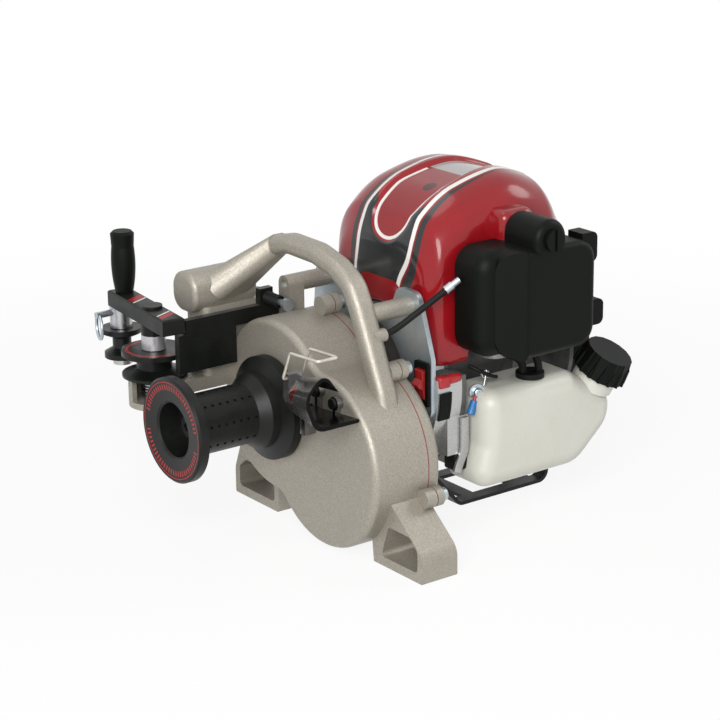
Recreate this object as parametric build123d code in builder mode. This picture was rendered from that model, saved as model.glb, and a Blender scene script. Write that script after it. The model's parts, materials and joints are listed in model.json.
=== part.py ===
from build123d import *
import math
import os

# Portable forestry winch: cast gear casing, capstan drum, rope rollers and a small four-stroke engine.
# Millimetres. The origin is on the ground midway between the feet, +X right, +Y to the engine, +Z up.

os.makedirs("parts", exist_ok=True)

# Fits
FIT = 0.05                # radial room of a shaft, pin or screw in its bore
GAP = 0.5                 # room between parts that move past each other
EPS = 0.2                 # seam between parts that almost touch

# Gear train: centres follow from teeth and module
LAY_X = 19.5
LAY_Z = 70.0
FINE_MODULE = 1.5
COARSE_MODULE = 2.0
PINION_TEETH = 11
FINE_TEETH = 67
COARSE_TEETH = 55
DRUM_BEARING = 156.4      # direction of the drum axis from the layshaft, degrees
CRANK_BEARING = 128.6     # direction of the crank axis from the layshaft, degrees
FINE_CENTRES = FINE_MODULE * (PINION_TEETH + FINE_TEETH) / 2
COARSE_CENTRES = COARSE_MODULE * (PINION_TEETH + COARSE_TEETH) / 2
DRUM_X = LAY_X + COARSE_CENTRES * math.cos(math.radians(DRUM_BEARING))
DRUM_Z = LAY_Z + COARSE_CENTRES * math.sin(math.radians(DRUM_BEARING))
CRANK_X = LAY_X + FINE_CENTRES * math.cos(math.radians(CRANK_BEARING))
CRANK_Z = LAY_Z + FINE_CENTRES * math.sin(math.radians(CRANK_BEARING))
ADDENDUM = 0.8            # tooth height over the pitch circle, in modules
DEDENDUM = 1.25           # tooth depth under the pitch circle, in modules
TOOTH_SHARE = 0.44        # tooth width at the pitch circle, as a share of the pitch
PRESSURE_ANGLE = 20.0

# Casing: two equal lobes about the drum axis and the layshaft
CASE_R = 67.0
CASE_WALL = 5.5
CASE_EDGE = 5.0
WAIST_R = 18.0
FACE_Y = -32.0
CASE_BACK_Y = 16.0
GASKET = 0.8
COVER_DEPTH = 11.0
COVER_FRONT_Y = CASE_BACK_Y + GASKET
COVER_BACK_Y = COVER_FRONT_Y + COVER_DEPTH
INNER_FACE_Y = FACE_Y + CASE_WALL
BOSS_R = 7.5
BOSS_DEPTH = 9.0
BOLT_R = 2.5
BOLT_REACH = 6.0          # bolt circle outside the lobe radius

# Feet
FOOT_SPAN = 240.0
FOOT_LENGTH = 58.0
FOOT_SIDE = 21.0
FOOT_FLOOR = 7.3
FOOT_FRONT_Y = -CASE_BACK_Y
FOOT_TOE_R = 1.5
RIGHT_HAUNCH = [(84, 50), (74, 66), (56, 60)]         # from the foot's side up into the lobe
RIGHT_HAUNCH_R = [14, 10, 0, 0]
LEFT_HAUNCH = [(-104, 62), (-86, 76), (-56, 52)]
LEFT_HAUNCH_R = [18, 10, 0, 0]
WINDOW_HEIGHT = 25.0
WINDOW_WALL = 6.0
WINDOW_CUT = 9.0          # slanted upper corner of a window
WINDOW_R = 3.5
RIGHT_WINDOW_START = 9.0  # from the inner end of the foot to the window
LEFT_WINDOW_START = 4.0
LEFT_WINDOW_DROP = 1.5    # left window lower than the right one

# Shafts and ball bearings (bore radius, outer radius, width)
SMALL_BEARING = (6.0, 14.0, 8.0)
OUTPUT_BEARING = (10.0, 21.0, 12.0)
TAIL_BEARING = (7.5, 16.0, 8.0)
SEAT_WALL = 5.0
SEAT_LIP = 4.0            # casing wall left in front of a bearing
COARSE_FRONT_Y = -12.0
COARSE_WIDTH = 16.0
FINE_FRONT_Y = 6.0
FINE_WIDTH = 8.0
PINION_EXTRA = 1.0        # pinion overhang past its wheel at each side
WHEEL_BORE_R = 11.0
LAY_R = 8.0
FINE_BORE_R = 10.0
INPUT_R = 6.0
INPUT_BOSS_BACK_Y = 39.5

# Capstan drum
FLANGE_R = 39.8
BARREL_R = 23.0
DRUM_FRONT_Y = -123.0
FLANGE_T = 8.0
BASE_T = 7.5
DRUM_GAP = 1.2            # room between the base disc and the casing face
CONE_R = 29.0
CONE_START_Y = -60.0
CONE_END_Y = -52.0
RECESS_R = 20.5
RECESS_DEPTH = 19.0
DISH = 1.5
SPINDLE_R = 9.0
HOLE_R = 1.2
HOLE_DEPTH = 1.6
HOLE_PITCH = 6.5
HOLE_ROWS = 9
HOLES_PER_ROW = 7
HOLE_TURN = 10.0         # direction of the first row, degrees
HOLE_START = 3.0          # first hole in front of the cone
DRUM_SCREW_R = 4.0
DRUM_SCREW_HEAD_R = 8.0
DRUM_SCREW_HEAD_T = 5.0
DRUM_SCREW_LENGTH = 22.0

# Roller arm: pivot of the lever and near spool, far spool at the end of the lever
ARM_INSET = 13.98         # right-hand side of the arm inside the drum lobe's left edge
ARM_WIDTH = 28.0
ARM_X1 = DRUM_X - CASE_R + ARM_INSET
ARM_X0 = ARM_X1 - ARM_WIDTH
PIVOT_X = ARM_X0 - 1.0
PIVOT_Y = -85.0
LEVER_ANGLE = 173.4       # direction from the pivot to the far spool, degrees from +X
SPOOL_CENTRES = 59.4
FAR_X = PIVOT_X + SPOOL_CENTRES * math.cos(math.radians(LEVER_ANGLE))
FAR_Y = PIVOT_Y + SPOOL_CENTRES * math.sin(math.radians(LEVER_ANGLE))
ARM_FRONT_Y = -57.0
ARM_BACK_Y = 10.0
ARM_Z0 = 101.0
ARM_Z1 = 165.0
ARM_CORNER = 6.0
BLOCK_X = ARM_X1 - 15.0
BLOCK_Z = 176.0
BLOCK_WIDTH = 32.0
BLOCK_HEIGHT = 31.0
BLOCK_CORNER = 13.0
BLOCK_EDGE = 4.0
BLOCK_FRONT_Y = -66.0
BLOCK_BACK_Y = -10.0
CUP_R = 20.7
CUP_WALL = 4.0
CUP_FLOOR = 5.0
CUP_Z0 = 88.0
CUP_Z1 = 111.0
PIVOT_R = 6.0
PIVOT_HEAD_R = 7.8
PIVOT_HEAD_T = 2.0

# Spools, bushes and lever
NEAR_FLANGE_R = 25.0
NEAR_WAIST_R = 13.7
NEAR_Z1 = 132.0
FAR_TOP_R = 15.8
FAR_BOTTOM_R = 14.0
FAR_WAIST_R = 7.4
FAR_Z0 = 110.0
FAR_Z1 = 134.0
FAR_AXLE_R = 4.0
FAR_HEAD_R = 7.6
FAR_HEAD_T = 5.0
FAR_BUSH_R = 8.8
FLANGE_EDGE = 4.0
BUSH_R = 9.3
LEVER_Z0 = 152.0
LEVER_T = 12.5
LEVER_W = 18.3
LEVER_BEFORE = 37.0       # lever length before the pivot
LEVER_AFTER = 3.0         # lever length past the far spool
LEVER_EDGE = 1.2
GRIP_BACK = 9.0           # grip axis inside the far spool axis, along the lever
GRIP_HEIGHT = 49.0
GRIP_R = 9.3
GRIP_NECK_R = 6.8
GRIP_BELLY = 0.38         # height of the belly, as a share of the grip
GRIP_WAIST = 0.75         # height of the waist, as a share of the grip
GRIP_DIP = 0.6
GRIP_EDGE = 2.0
PIN_R = 2.6
PIN_LENGTH = 13.0
PIN_DROP = 5.0            # lock pin below the lever
RING_R = 9.5
RING_WIRE = 1.3
RING_ROOM = 0.3           # room of the ring's wire in its hole
RING_WAY = (0.3, 0.95, 0)   # normal of the ring

# Side plate of the roller arm and its spring bolt
PLATE_T = 6.0
SIDE_FRONT_Y = -84.0
SIDE_Z0 = 119.5
SIDE_LOW_Z1 = 149.5
SIDE_Z1 = 160.5
SIDE_STEP_Y = -77.5
TONGUE_Z0 = 148.5
TAB_Y = -4.0
TAB_W = 12.0
TAB_OVER = 2.577          # spring bolt over the top of the drum lobe
TAB_Z = DRUM_Z + CASE_R + TAB_OVER
TAB_RISE = 7.0
SIDE_SCREWS = [(-48.0, 140.0), (-48.0, 126.0), (-20.0, 154.5)]
SIDE_SCREW_LENGTH = 8.0
SPRING_BOLT_R = 2.5
SPRING_BOLT_LENGTH = 26.0
SPRING_HEAD_T = 4.0

# Coil springs (coil radius, wire radius, pitch, whole turns)
LEVER_SPRING = (10.2, 0.9, 2.3, 7)
BOLT_SPRING = (4.2, 0.7, 2.2, 8)
CAM_SPRING = (4.0, 0.45, 1.6, 5)

# Rope guide: outlines as (Y, Z) at its throat by the drum and at its right-hand mouth
GUIDE_GAP = 0.2           # seam between the guide and the casing face
GUIDE_BACK_Y = FACE_Y - GUIDE_GAP
GUIDE_OPEN_Y = FACE_Y + CASE_WALL
GUIDE_THROAT_X = 10.0
GUIDE_MOUTH_X = 70.0
GUIDE_THROAT = [(GUIDE_BACK_Y, 108), (-50, 108), (-60, 124), (-46, 140)]
GUIDE_MOUTH = [(GUIDE_BACK_Y, 114), (-72, 114), (-82, 140), (-64, 158)]
GUIDE_THROAT_BORE = [(GUIDE_OPEN_Y, 111), (-48.5, 111), (-56.5, 124), (-46.5, 136)]
GUIDE_MOUTH_BORE = [(GUIDE_OPEN_Y, 117), (-70, 117), (-78.5, 140), (-65, 153.5)]
GUIDE_THROAT_R = [1.5, 8.0, 8.0, 5.0]
GUIDE_MOUTH_R = [1.5, 12.0, 14.0, 8.0]
GUIDE_THROAT_BORE_R = [1.0, 5.5, 6.0, 3.5]
GUIDE_MOUTH_BORE_R = [1.0, 9.5, 11.5, 6.0]
GUIDE_TAB_X = (8.0, 14.0)
GUIDE_TAB_Y = -42.0
GUIDE_TAB_Z = (90.0, 112.0)
GUIDE_SCREWS = [(22, 126), (44, 122)]
GUIDE_SCREW_R = 2.0
GUIDE_SCREW_HEAD_T = 2.5
SCREW_BOSS_R = 5.0
SCREW_BOSS_T = 5.0
SCREW_RIB_T = 3.0
SCREW_RIB_Z = 112.0

# Wire gate over the guide, hinged in a block
HINGE_X = 20.0
HINGE_Y = -56.0
HINGE_Z = 140.0
HINGE_W = 12.0
HINGE_T = 7.0
HINGE_DROP = 15.0
HINGE_RISE = 3.5
GATE_R = 1.2
GATE_BEND = 2.5
GATE_IN = 4.5             # length of each wire end inside the hinge block
GATE_OUT = 2.5            # wire outside the block at each side
GATE_KNEE = (10, 22)      # from the hinge to the knee, along X and Z
GATE_END = (44, 24)       # from the hinge to the end, along X and Z

# Carrying handle, cast on
HANDLE_Y = -2.0
HANDLE_DEPTH = 18.0
HANDLE_T = 15.0
HANDLE_CORNER = 6.0
HANDLE_BEND = 22.0
HANDLE_ROUTE = [(-74, 210.06), (-55, 215), (-20, 214.5), (5, 208.5), (22, 199.5),
                (31, 184), (57, 126), (65, 98)]

ROOT_POINT = (BLOCK_X + 8.0, -33.0, 178.0)   # broad root of the handle in the arm's block
ROOT_LEAN = (0.75, 0.35, 0.55)
ROOT_SIZE = (40.0, 24.0)
ROOT_CORNER = 10.0
ROOT_END = (-72.0, HANDLE_Y, 210.6)          # where the root has narrowed to the handle
ROOT_END_LEAN = (0.95, 0.0, 0.25)
ROOT_END_COLLAR = 0.7     # end of the root over the handle, all round

# Engine plate on two standoffs
PLATE_Y = 41.0
ENGINE_PLATE_T = 4.0
LEFT_STAND = (-73.0, 178.0)
RIGHT_STAND = (31.0, 178.0)
STAND_R = 7.0
PLATE_OUTLINE = [(-84, 190), (-89, 150), (-89, 96), (-60, 62), (26, 62), (58.5, 100), (58.5, 142), (42, 190),
                 (18, 190), (8, 168), (-50, 168), (-60, 190)]
PLATE_CORNER = 9.0
LEFT_STAND_FRONT_Y = 2.0
STAND_BOLT_R = 4.0
STAND_HEAD_R = 6.5
STAND_HEAD_T = 4.0
WASHER_R = 8.0
WASHER_T = 1.5

# Rocker stop switch in the plate's right-hand tab
SWITCH_X = 49.0           # middle of the switch
SWITCH_Z = 122.7
SWITCH_FRAME = (16.0, 34.0)    # width and height of the frame
SWITCH_BODY = (13.0, 28.0)     # width and height of the body in the plate
SWITCH_FRAME_T = 2.4
SWITCH_BACK_Y = PLATE_Y + ENGINE_PLATE_T - EPS
SWITCH_WALL = 0.8
ROCKER_W = 9.2
ROCKER_HALF = 11.2        # half the rocker's height
ROCKER_RISE = 1.6         # rocker in front of the frame
ROCKER_T = 4.0
ROCKER_ROOM = 0.9         # room above and below the rocker for its swing
ROCKER_TILT = 5.0
ROCKER_EDGE = 0.6
RIDGE_RISE = 4.2
RIDGE_W = 2.4

# Clutch, fan cover and crank
BELL_R = 41.0
BELL_WALL = 2.5
BELL_FRONT_Y = 44.0
BELL_DISC_T = 3.0
BELL_BACK_Y = 57.0
SHOE_GAP = 0.8
SHOE_FRONT_Y = 48.5
SHOE_SLOT = 6.0
SHOE_PIN_R = 4.0
SHOE_PIN_CIRCLE = 26.0
BELL_HUB_R = 9.6
CLUTCH_BORE_R = 43.0
FAN_FRONT_Y = PLATE_Y + ENGINE_PLATE_T
FAN_NECK_R = 52.0
FAN_NECK_BACK_Y = 56.5
FAN_RING_R = 57.5         # upper part, inside the shroud
FAN_R = 78.0              # lower part, open to the eye
FAN_BACK_Y = 68.0
FAN_WALL = 4.0
FAN_LOW_Z = 126.0
TANK_LEG_X = (46.0, 58.0)
TANK_LEG_Z = (64.0, 106.0)
TANK_LEG_Y = 76.5         # rear end of the leg, in front of the tank
FLYWHEEL_R = 52.0
FLYWHEEL_T = 4.0
BLADES = 18
BLADE_T = 2.0
BLADE_LENGTH = 16.0
BLADE_MIDDLE = 42.0
CRANK_R = 8.0
CRANK_REAR_Y = 200.0
CRANK_TAIL_R = 19.2       # crankcase tube behind the barrel
CRANKCASE_R = 40.0
CRANKCASE_BACK_Y = 150.0
WEB_R = 28.0
WEB_T = 10.0
WEB_FRONT_Y = 92.0
THROW = 14.0
CRANK_PIN_R = 7.0
CRANK_PIN_LENGTH = 14.0
CHAMBER_ROOM = 4.0
SEAT_RISE = 2.0           # cylinder seat over the barrel
CYLINDER_Y = 110.0
CYLINDER_R = 28.0
CYLINDER_Z1 = 240.0
FIN_R = 36.0
FIN_T = 2.5
FIN_PITCH = 8.0
FINS = 8
FIN_Z0 = 168.0

# Shroud: sections along Y as (depth, left, right, top)
SHROUD_SECTIONS = [(51, -70, 36, 220), (62, -80, 46, 240), (92, -82, 48, 258), (130, -80, 49, 265),
                   (165, -72, 46, 256), (190, -50, 32, 233)]
SHROUD_CORNER = 34.0
SHROUD_WALL = 4.5
SHROUD_Z0 = 131.0
SHROUD_DROP = 45.0        # how far a section reaches under the cut edge before it is trimmed
SHROUD_NECK_GAP = 1.0
SHROUD_BOSS_X0 = 44.0     # shoulder boss that carries the air cleaner's stud
PANEL_X = -12.5           # middle of the sunk panel in the top
PANEL_DEPTH = 2.2
PANEL_Z0 = 214.0
PANEL_SIDE = [(48, 8), (51.5, 14), (57, 20.5), (67, 23.5), (89, 25.5), (145, 19), (172, 13)]   # depth, half width

# Recoil starter
RECOIL_FRONT_Y = 196.0
RECOIL_BACK_Y = 216.0
RECOIL_R = 58.0
RECOIL_WALL = 3.0
VENTS = 12
VENT_CIRCLE = 40.6
VENT_R = 3.0
STARTER_T = 12.0
STARTER_W = 40.0
STARTER_RISE = 26.1       # starter grip over the crank axis
LUG_BACK = 4.0            # rear lug in front of the housing's back
LUG_FRONT = 5.0           # front lug behind the plate

# Air cleaner on the right
CLEANER_X0 = 52.0
BASE_X1 = 63.0
COVER_X1 = 100.0
SHOULDER_X1 = 84.0        # lower level of the cover, in front of the raised face
COVER_Y0 = 68.0
FACE_Y0 = 80.0
FACE_RAMP = 18.0          # slope at the front of the raised face, along Y
COVER_Y1 = 165.0
COVER_Z0 = 141.0
COVER_Z1 = 223.0
COVER_CORNER = 16.0
COVER_EDGE = 12.0
FACE_EDGE = 6.0
UPPER_LUG = ((77.0, 93.0), (156.0, 171.0), (203.0, 226.0))
LOWER_LUG = ((77.0, 90.0), (156.0, 181.0), (152.0, 172.0))
LUG_R = 5.0
KNOB_Y = 121.0
KNOB_Z = 228.5
KNOB_R = 8.2
KNOB_T = 3.2
KNOB_SLOT = (2.8, 1.4)   # width and depth of its slot
HUMP_R = 15.0
KNOB_STUD_R = 3.0
FILTER_DROP = 4.0         # filter below the middle of the cover
COVER_ROOM = (77.0, 66.0)
FILTER_SIZE = (74.0, 63.0)
COVER_ROOM_DEPTH = 17.0
FILTER_DEPTH = 14.0

# Carburettor and throttle
CARB_X0 = 24.0
CARB_Y = 118.0
CARB_Z = 150.0
CARB_R = 13.0
BOWL_R = 12.3
BOWL_DROP = 10.0          # bowl below the body
CARB_FLANGE_T = 5.0
CARB_FLANGE_Y = (-19.0, 20.0)
CARB_FLANGE_Z = (-7.0, 9.0)
CAM_Y = 96.0
CAM_R = 10.0
CAM_T = 3.0
CAM_SHAFT_R = 2.5
CAM_BOSS_R = 4.5
CAM_BOSS_Y = 106.0

# Fuel tank under and beside the crankcase
TANK_X0 = -72.0
TANK_X1 = 78.0
TANK_SIDE_X0 = 38.0
TANK_Y0 = 80.0
TANK_Y1 = 206.0
TANK_Z0 = 36.0
TANK_SADDLE_Z = 68.0
TANK_Z1 = 112.0
TANK_EDGE = 13.0
TANK_WALL = 3.0
TANK_ROOM_EDGE = 9.0
TANK_HEEL = (34.0, 30.0)  # lower rear corner cut, along Y and Z
TANK_HEEL_R = 26.0
TANK_TOE = (12.0, 34.0)   # lower front corner drawn out, along Y and Z
TANK_SHOULDER = (40.0, 26.0)   # upper rear corner cut, along Y and Z
SADDLE_X1 = 52.0
SADDLE_Y = (93.0, 154.0)
NECK_POINT = (64.0, 194.0, 95.0)
NECK_LEAN = (0.42, 0.24, 0.875)
NECK_R = 17.0
NECK_BORE_R = 13.0
NECK_RISE = 12.0
CAP_R = 21.0
CAP_H = 19.0
CAP_TAPER = 8.0
CAP_PLUG = 6.0
CAP_RIBS = 16
RIB_R = 1.6
GROMMET_X = 61.0
GROMMET_Y = 134.0
GROMMET_R = 11.0
GROMMET_H = 4.0

# Tank guard of flat bar
GUARD_HALF = 27.0
BAR_W = 11.0
BAR_T = 3.0
GUARD_Y0 = 103.0
GUARD_Y1 = 192.0
GUARD_CROSS_Y = 172.0
GUARD_BEND = 8.0
GUARD_FOOT_Y = (53.0, 74.0, 194.0, 210.0)   # ends and knees of the lug runs
LUG_UNDER = 1.719         # lugs' ends under the fan cover
LUG_RISE = 14.0           # lugs' roots over its lowest point
LUG_Z = CRANK_Z - FAN_R - LUG_UNDER

# Muffler on the far side
MUFFLER_X0 = -112.0
MUFFLER_X1 = -90.0
MUFFLER_Y0 = 98.0
MUFFLER_Y1 = 162.0
MUFFLER_Z0 = 132.0
MUFFLER_Z1 = 188.0
MUFFLER_EDGE = 6.0

# Cables and hoses: hand-chosen routes
CABLE_R = 2.4
CABLE_BOSS_R = 5.0
CABLE_BOSS_END = (44.0, 9.0, 165.0)
CABLE_ROUTE = [(44, 9.2, 165), (44, 15, 165), (50.5, 36, 179), (56.6, 55.6, 192.6)]
FERRULE_R = 3.4
FERRULE_TIP_R = 2.6
FERRULE_LENGTH = 13.0
BEND_SHARE = 0.45         # length of a bend at each corner, as a share of the shorter run
HOSE_R = 3.0
HOSE_ROUTES = [[(60, 128, 116.2), (60, 128, 124), (60, 118, 131), (50.5, 118, 131)],
               [(64, 140, 116.2), (64, 140, 126), (57.9, 134.7, 133), (47.65, 126.1, 133)]]
LEAD_R = 1.4
LEAD_ROUTE = [(51, 82, 128), (56, 84, 127), (60, 90, 123), (61, 98, 119), (55.5, 105.5, 116)]


# Planes, axes and small building blocks

def facing(y):
    """Plane at depth y with local axes X and Z; a positive extrusion runs towards -Y."""
    return Plane.XZ.offset(-y)


def turning(x, z):
    """Plane through an axis along Y: local x is the radius and local y is the depth."""
    return Plane(origin=(x, 0, z), x_dir=(1, 0, 0), z_dir=(0, 0, 1))


def upright(x, y):
    """Plane through a vertical axis: local x is the radius and local y is the height."""
    return Plane(origin=(x, y, 0), x_dir=(1, 0, 0), z_dir=(0, -1, 0))


def along_y(x, z):
    return Axis((x, 0, z), (0, 1, 0))


def along_z(x, y):
    return Axis((x, y, 0), (0, 0, 1))


def rod(x, z, front, back, radius, mode=Mode.ADD):
    """Round bar along Y between two depths."""
    with Locations((x, (front + back) / 2, z)):
        Cylinder(radius, back - front, rotation=(90, 0, 0), mode=mode)


def post(x, y, low, high, radius, mode=Mode.ADD):
    """Round bar along Z between two heights."""
    with Locations((x, y, (low + high) / 2)):
        Cylinder(radius, high - low, mode=mode)


def spar(y, z, left, right, radius, mode=Mode.ADD):
    """Round bar along X between two sides."""
    with Locations(((left + right) / 2, y, z)):
        Cylinder(radius, right - left, rotation=(0, 90, 0), mode=mode)


def block(x, y, z, mode=Mode.ADD):
    """Box between pairs of limits along X, Y and Z."""
    with Locations(((x[0] + x[1]) / 2, (y[0] + y[1]) / 2, (z[0] + z[1]) / 2)):
        Box(x[1] - x[0], y[1] - y[0], z[1] - z[0], mode=mode)


def polar(x, z, radius, degrees):
    """Point at a radius and direction about a centre in the XZ plane."""
    return (x + radius * math.cos(math.radians(degrees)), z + radius * math.sin(math.radians(degrees)))


def lobes(inset):
    """Outline of the two lobes, blended at the waist and shrunk by an inset."""
    blend = WAIST_R + inset
    reach = math.sqrt((CASE_R + WAIST_R) ** 2 - (COARSE_CENTRES / 2) ** 2)
    middle = ((DRUM_X + LAY_X) / 2, (DRUM_Z + LAY_Z) / 2)
    waists = [polar(*middle, reach, DRUM_BEARING + side) for side in (-90, 90)]
    with BuildSketch() as outline:
        with Locations((DRUM_X, DRUM_Z), (LAY_X, LAY_Z)):
            Circle(CASE_R - inset)
        with BuildLine():
            Polyline((DRUM_X, DRUM_Z), waists[0], (LAY_X, LAY_Z), waists[1], close=True)
        make_face()
        with Locations(*waists):
            Circle(blend, mode=Mode.SUBTRACT)
    return outline.sketch


def gear_outline(module, teeth, phase):
    """Straight-flanked teeth about the origin; phase turns the first tooth, in degrees."""
    pitch_r = module * teeth / 2
    step = 360 / teeth
    half = step * TOOTH_SHARE / 2
    tip_r = pitch_r + ADDENDUM * module
    root_r = pitch_r - DEDENDUM * module
    slope = math.degrees(math.tan(math.radians(PRESSURE_ANGLE)) * module / pitch_r)
    points = []
    for tooth in range(teeth):
        middle = phase + tooth * step
        for radius, side in ((root_r, -half - slope * DEDENDUM), (tip_r, -half + slope * ADDENDUM),
                             (tip_r, half - slope * ADDENDUM), (root_r, half + slope * DEDENDUM)):
            points.append(polar(0, 0, radius, middle + side))
    with BuildSketch() as outline:
        with BuildLine():
            Polyline(*points, close=True)
        make_face()
    return outline.sketch


def helix_points(coil_r, pitch, turns):
    """Quarter-turn points and unit tangents of a helix about local Z."""
    rise = pitch / 4
    climb = pitch / (2 * math.pi)
    size = math.hypot(coil_r, climb)
    points = []
    tangents = []
    for step in range(4 * turns + 1):
        angle = step * math.pi / 2
        points.append(Vector(coil_r * math.cos(angle), coil_r * math.sin(angle), step * rise))
        tangents.append(Vector(-coil_r * math.sin(angle), coil_r * math.cos(angle), climb) / size)
    return points, tangents


def biarc_joint(start, start_way, end, end_way):
    """Meeting point of two arcs that leave start and reach end along the given tangents."""
    chord = end - start
    both = start_way + end_way
    bend = 2 * (1 - start_way.dot(end_way))
    reach = (math.sqrt(chord.dot(both) ** 2 + bend * chord.dot(chord)) - chord.dot(both)) / bend
    return (start + start_way * reach + end - end_way * reach) / 2


def arc_middle(start, end, way):
    """Middle point of the arc that leaves start along a unit tangent and ends at end."""
    chord = end - start
    along = chord.normalized()
    cosine = way.dot(along)
    bulge = (way - along * cosine).normalized()
    return (start + end) / 2 + bulge * (chord.length / 2) * math.tan(math.acos(min(1, cosine)) / 2)


def coil(size, plane):
    """Coil spring of one unbroken round wire along a plane's normal; prints its least gap."""
    coil_r, wire_r, pitch, turns = size
    points, tangents = helix_points(coil_r, pitch, turns)
    with BuildPart() as spring:
        with BuildLine() as path:
            for start, end, way, last in zip(points, points[1:], tangents, tangents[1:]):
                middle = biarc_joint(start, way, end, last)
                along = (end - middle).normalized()
                leave = along * (2 * along.dot(last)) - last
                ThreePointArc(start, arc_middle(start, middle, way), middle)
                ThreePointArc(middle, arc_middle(middle, end, leave), end)
        with BuildSketch(path.line ^ 0):
            Circle(wire_r)
        sweep(path=path.line)
    closest = min((points[i] - points[j]).length for i in range(len(points))
                  for j in range(i + 3, len(points)))
    print(f"coil of {turns} turns: least gap {closest - 2 * wire_r:.2f} mm, volume {spring.part.volume:.0f}")
    return plane.location * spring.part


def tube(route, radius, bend):
    """Round tube along straight runs joined by tangent arcs; prints its radii and volume."""
    with BuildPart() as piece:
        with BuildLine() as path:
            FilletPolyline(*route, radius=bend)
        with BuildSketch(path.line ^ 0):
            Circle(radius)
        sweep(path=path.line)
    ideal = math.pi * radius ** 2 * sum(edge.length for edge in path.edges())
    print(f"tube of {len(route)} points: bends {bend}, volume {piece.part.volume / ideal:.4f} of ideal")
    return piece.part


def bends(route):
    """Arc radius at each inner point of a route, from its share of the shorter run."""
    radii = []
    for before, here, after in zip(route, route[1:], route[2:]):
        first = Vector(here) - Vector(before)
        second = Vector(after) - Vector(here)
        turn = math.radians(first.get_angle(second))
        radii.append(BEND_SHARE * min(first.length, second.length) / math.tan(turn / 2))
    return radii


# Places worked out from the sizes above
LEVER_PLANE = Plane(origin=(PIVOT_X, PIVOT_Y, LEVER_Z0),
                    x_dir=(math.cos(math.radians(LEVER_ANGLE)), math.sin(math.radians(LEVER_ANGLE)), 0),
                    z_dir=(0, 0, 1))
LEVER_Z1 = LEVER_Z0 + LEVER_T
GRIP_TOP_Z = LEVER_Z1 + GRIP_HEIGHT
GRIP_X, GRIP_Y, _ = tuple(LEVER_PLANE.from_local_coords(Vector(SPOOL_CENTRES - GRIP_BACK, 0, 0)))
FOOT_END = FOOT_SPAN / 2
FOOT_START = FOOT_END - FOOT_LENGTH
BOLT_CIRCLE = CASE_R + BOLT_REACH
BOLT_POINTS = ([polar(DRUM_X, DRUM_Z, BOLT_CIRCLE, degrees) for degrees in (84, 145, 200, 262)]
               + [polar(LAY_X, LAY_Z, BOLT_CIRCLE, degrees) for degrees in (67, -15, -52)])
FRONT_SEAT_Y = FACE_Y + SEAT_LIP
REAR_SEAT_Y = COVER_FRONT_Y + EPS
NEAR_Z0 = CUP_Z1 + GAP
PLATE_X1 = ARM_X1 + PLATE_T
BASE_BACK_Y = FACE_Y - DRUM_GAP
BASE_FRONT_Y = BASE_BACK_Y - BASE_T
RECESS_Y = DRUM_FRONT_Y + RECESS_DEPTH
WINDOW_TOP = FOOT_FLOOR + WINDOW_HEIGHT
LEFT_WINDOW_TOP = WINDOW_TOP - LEFT_WINDOW_DROP
CARB_X = (CARB_X0 + CLEANER_X0) / 2

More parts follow.
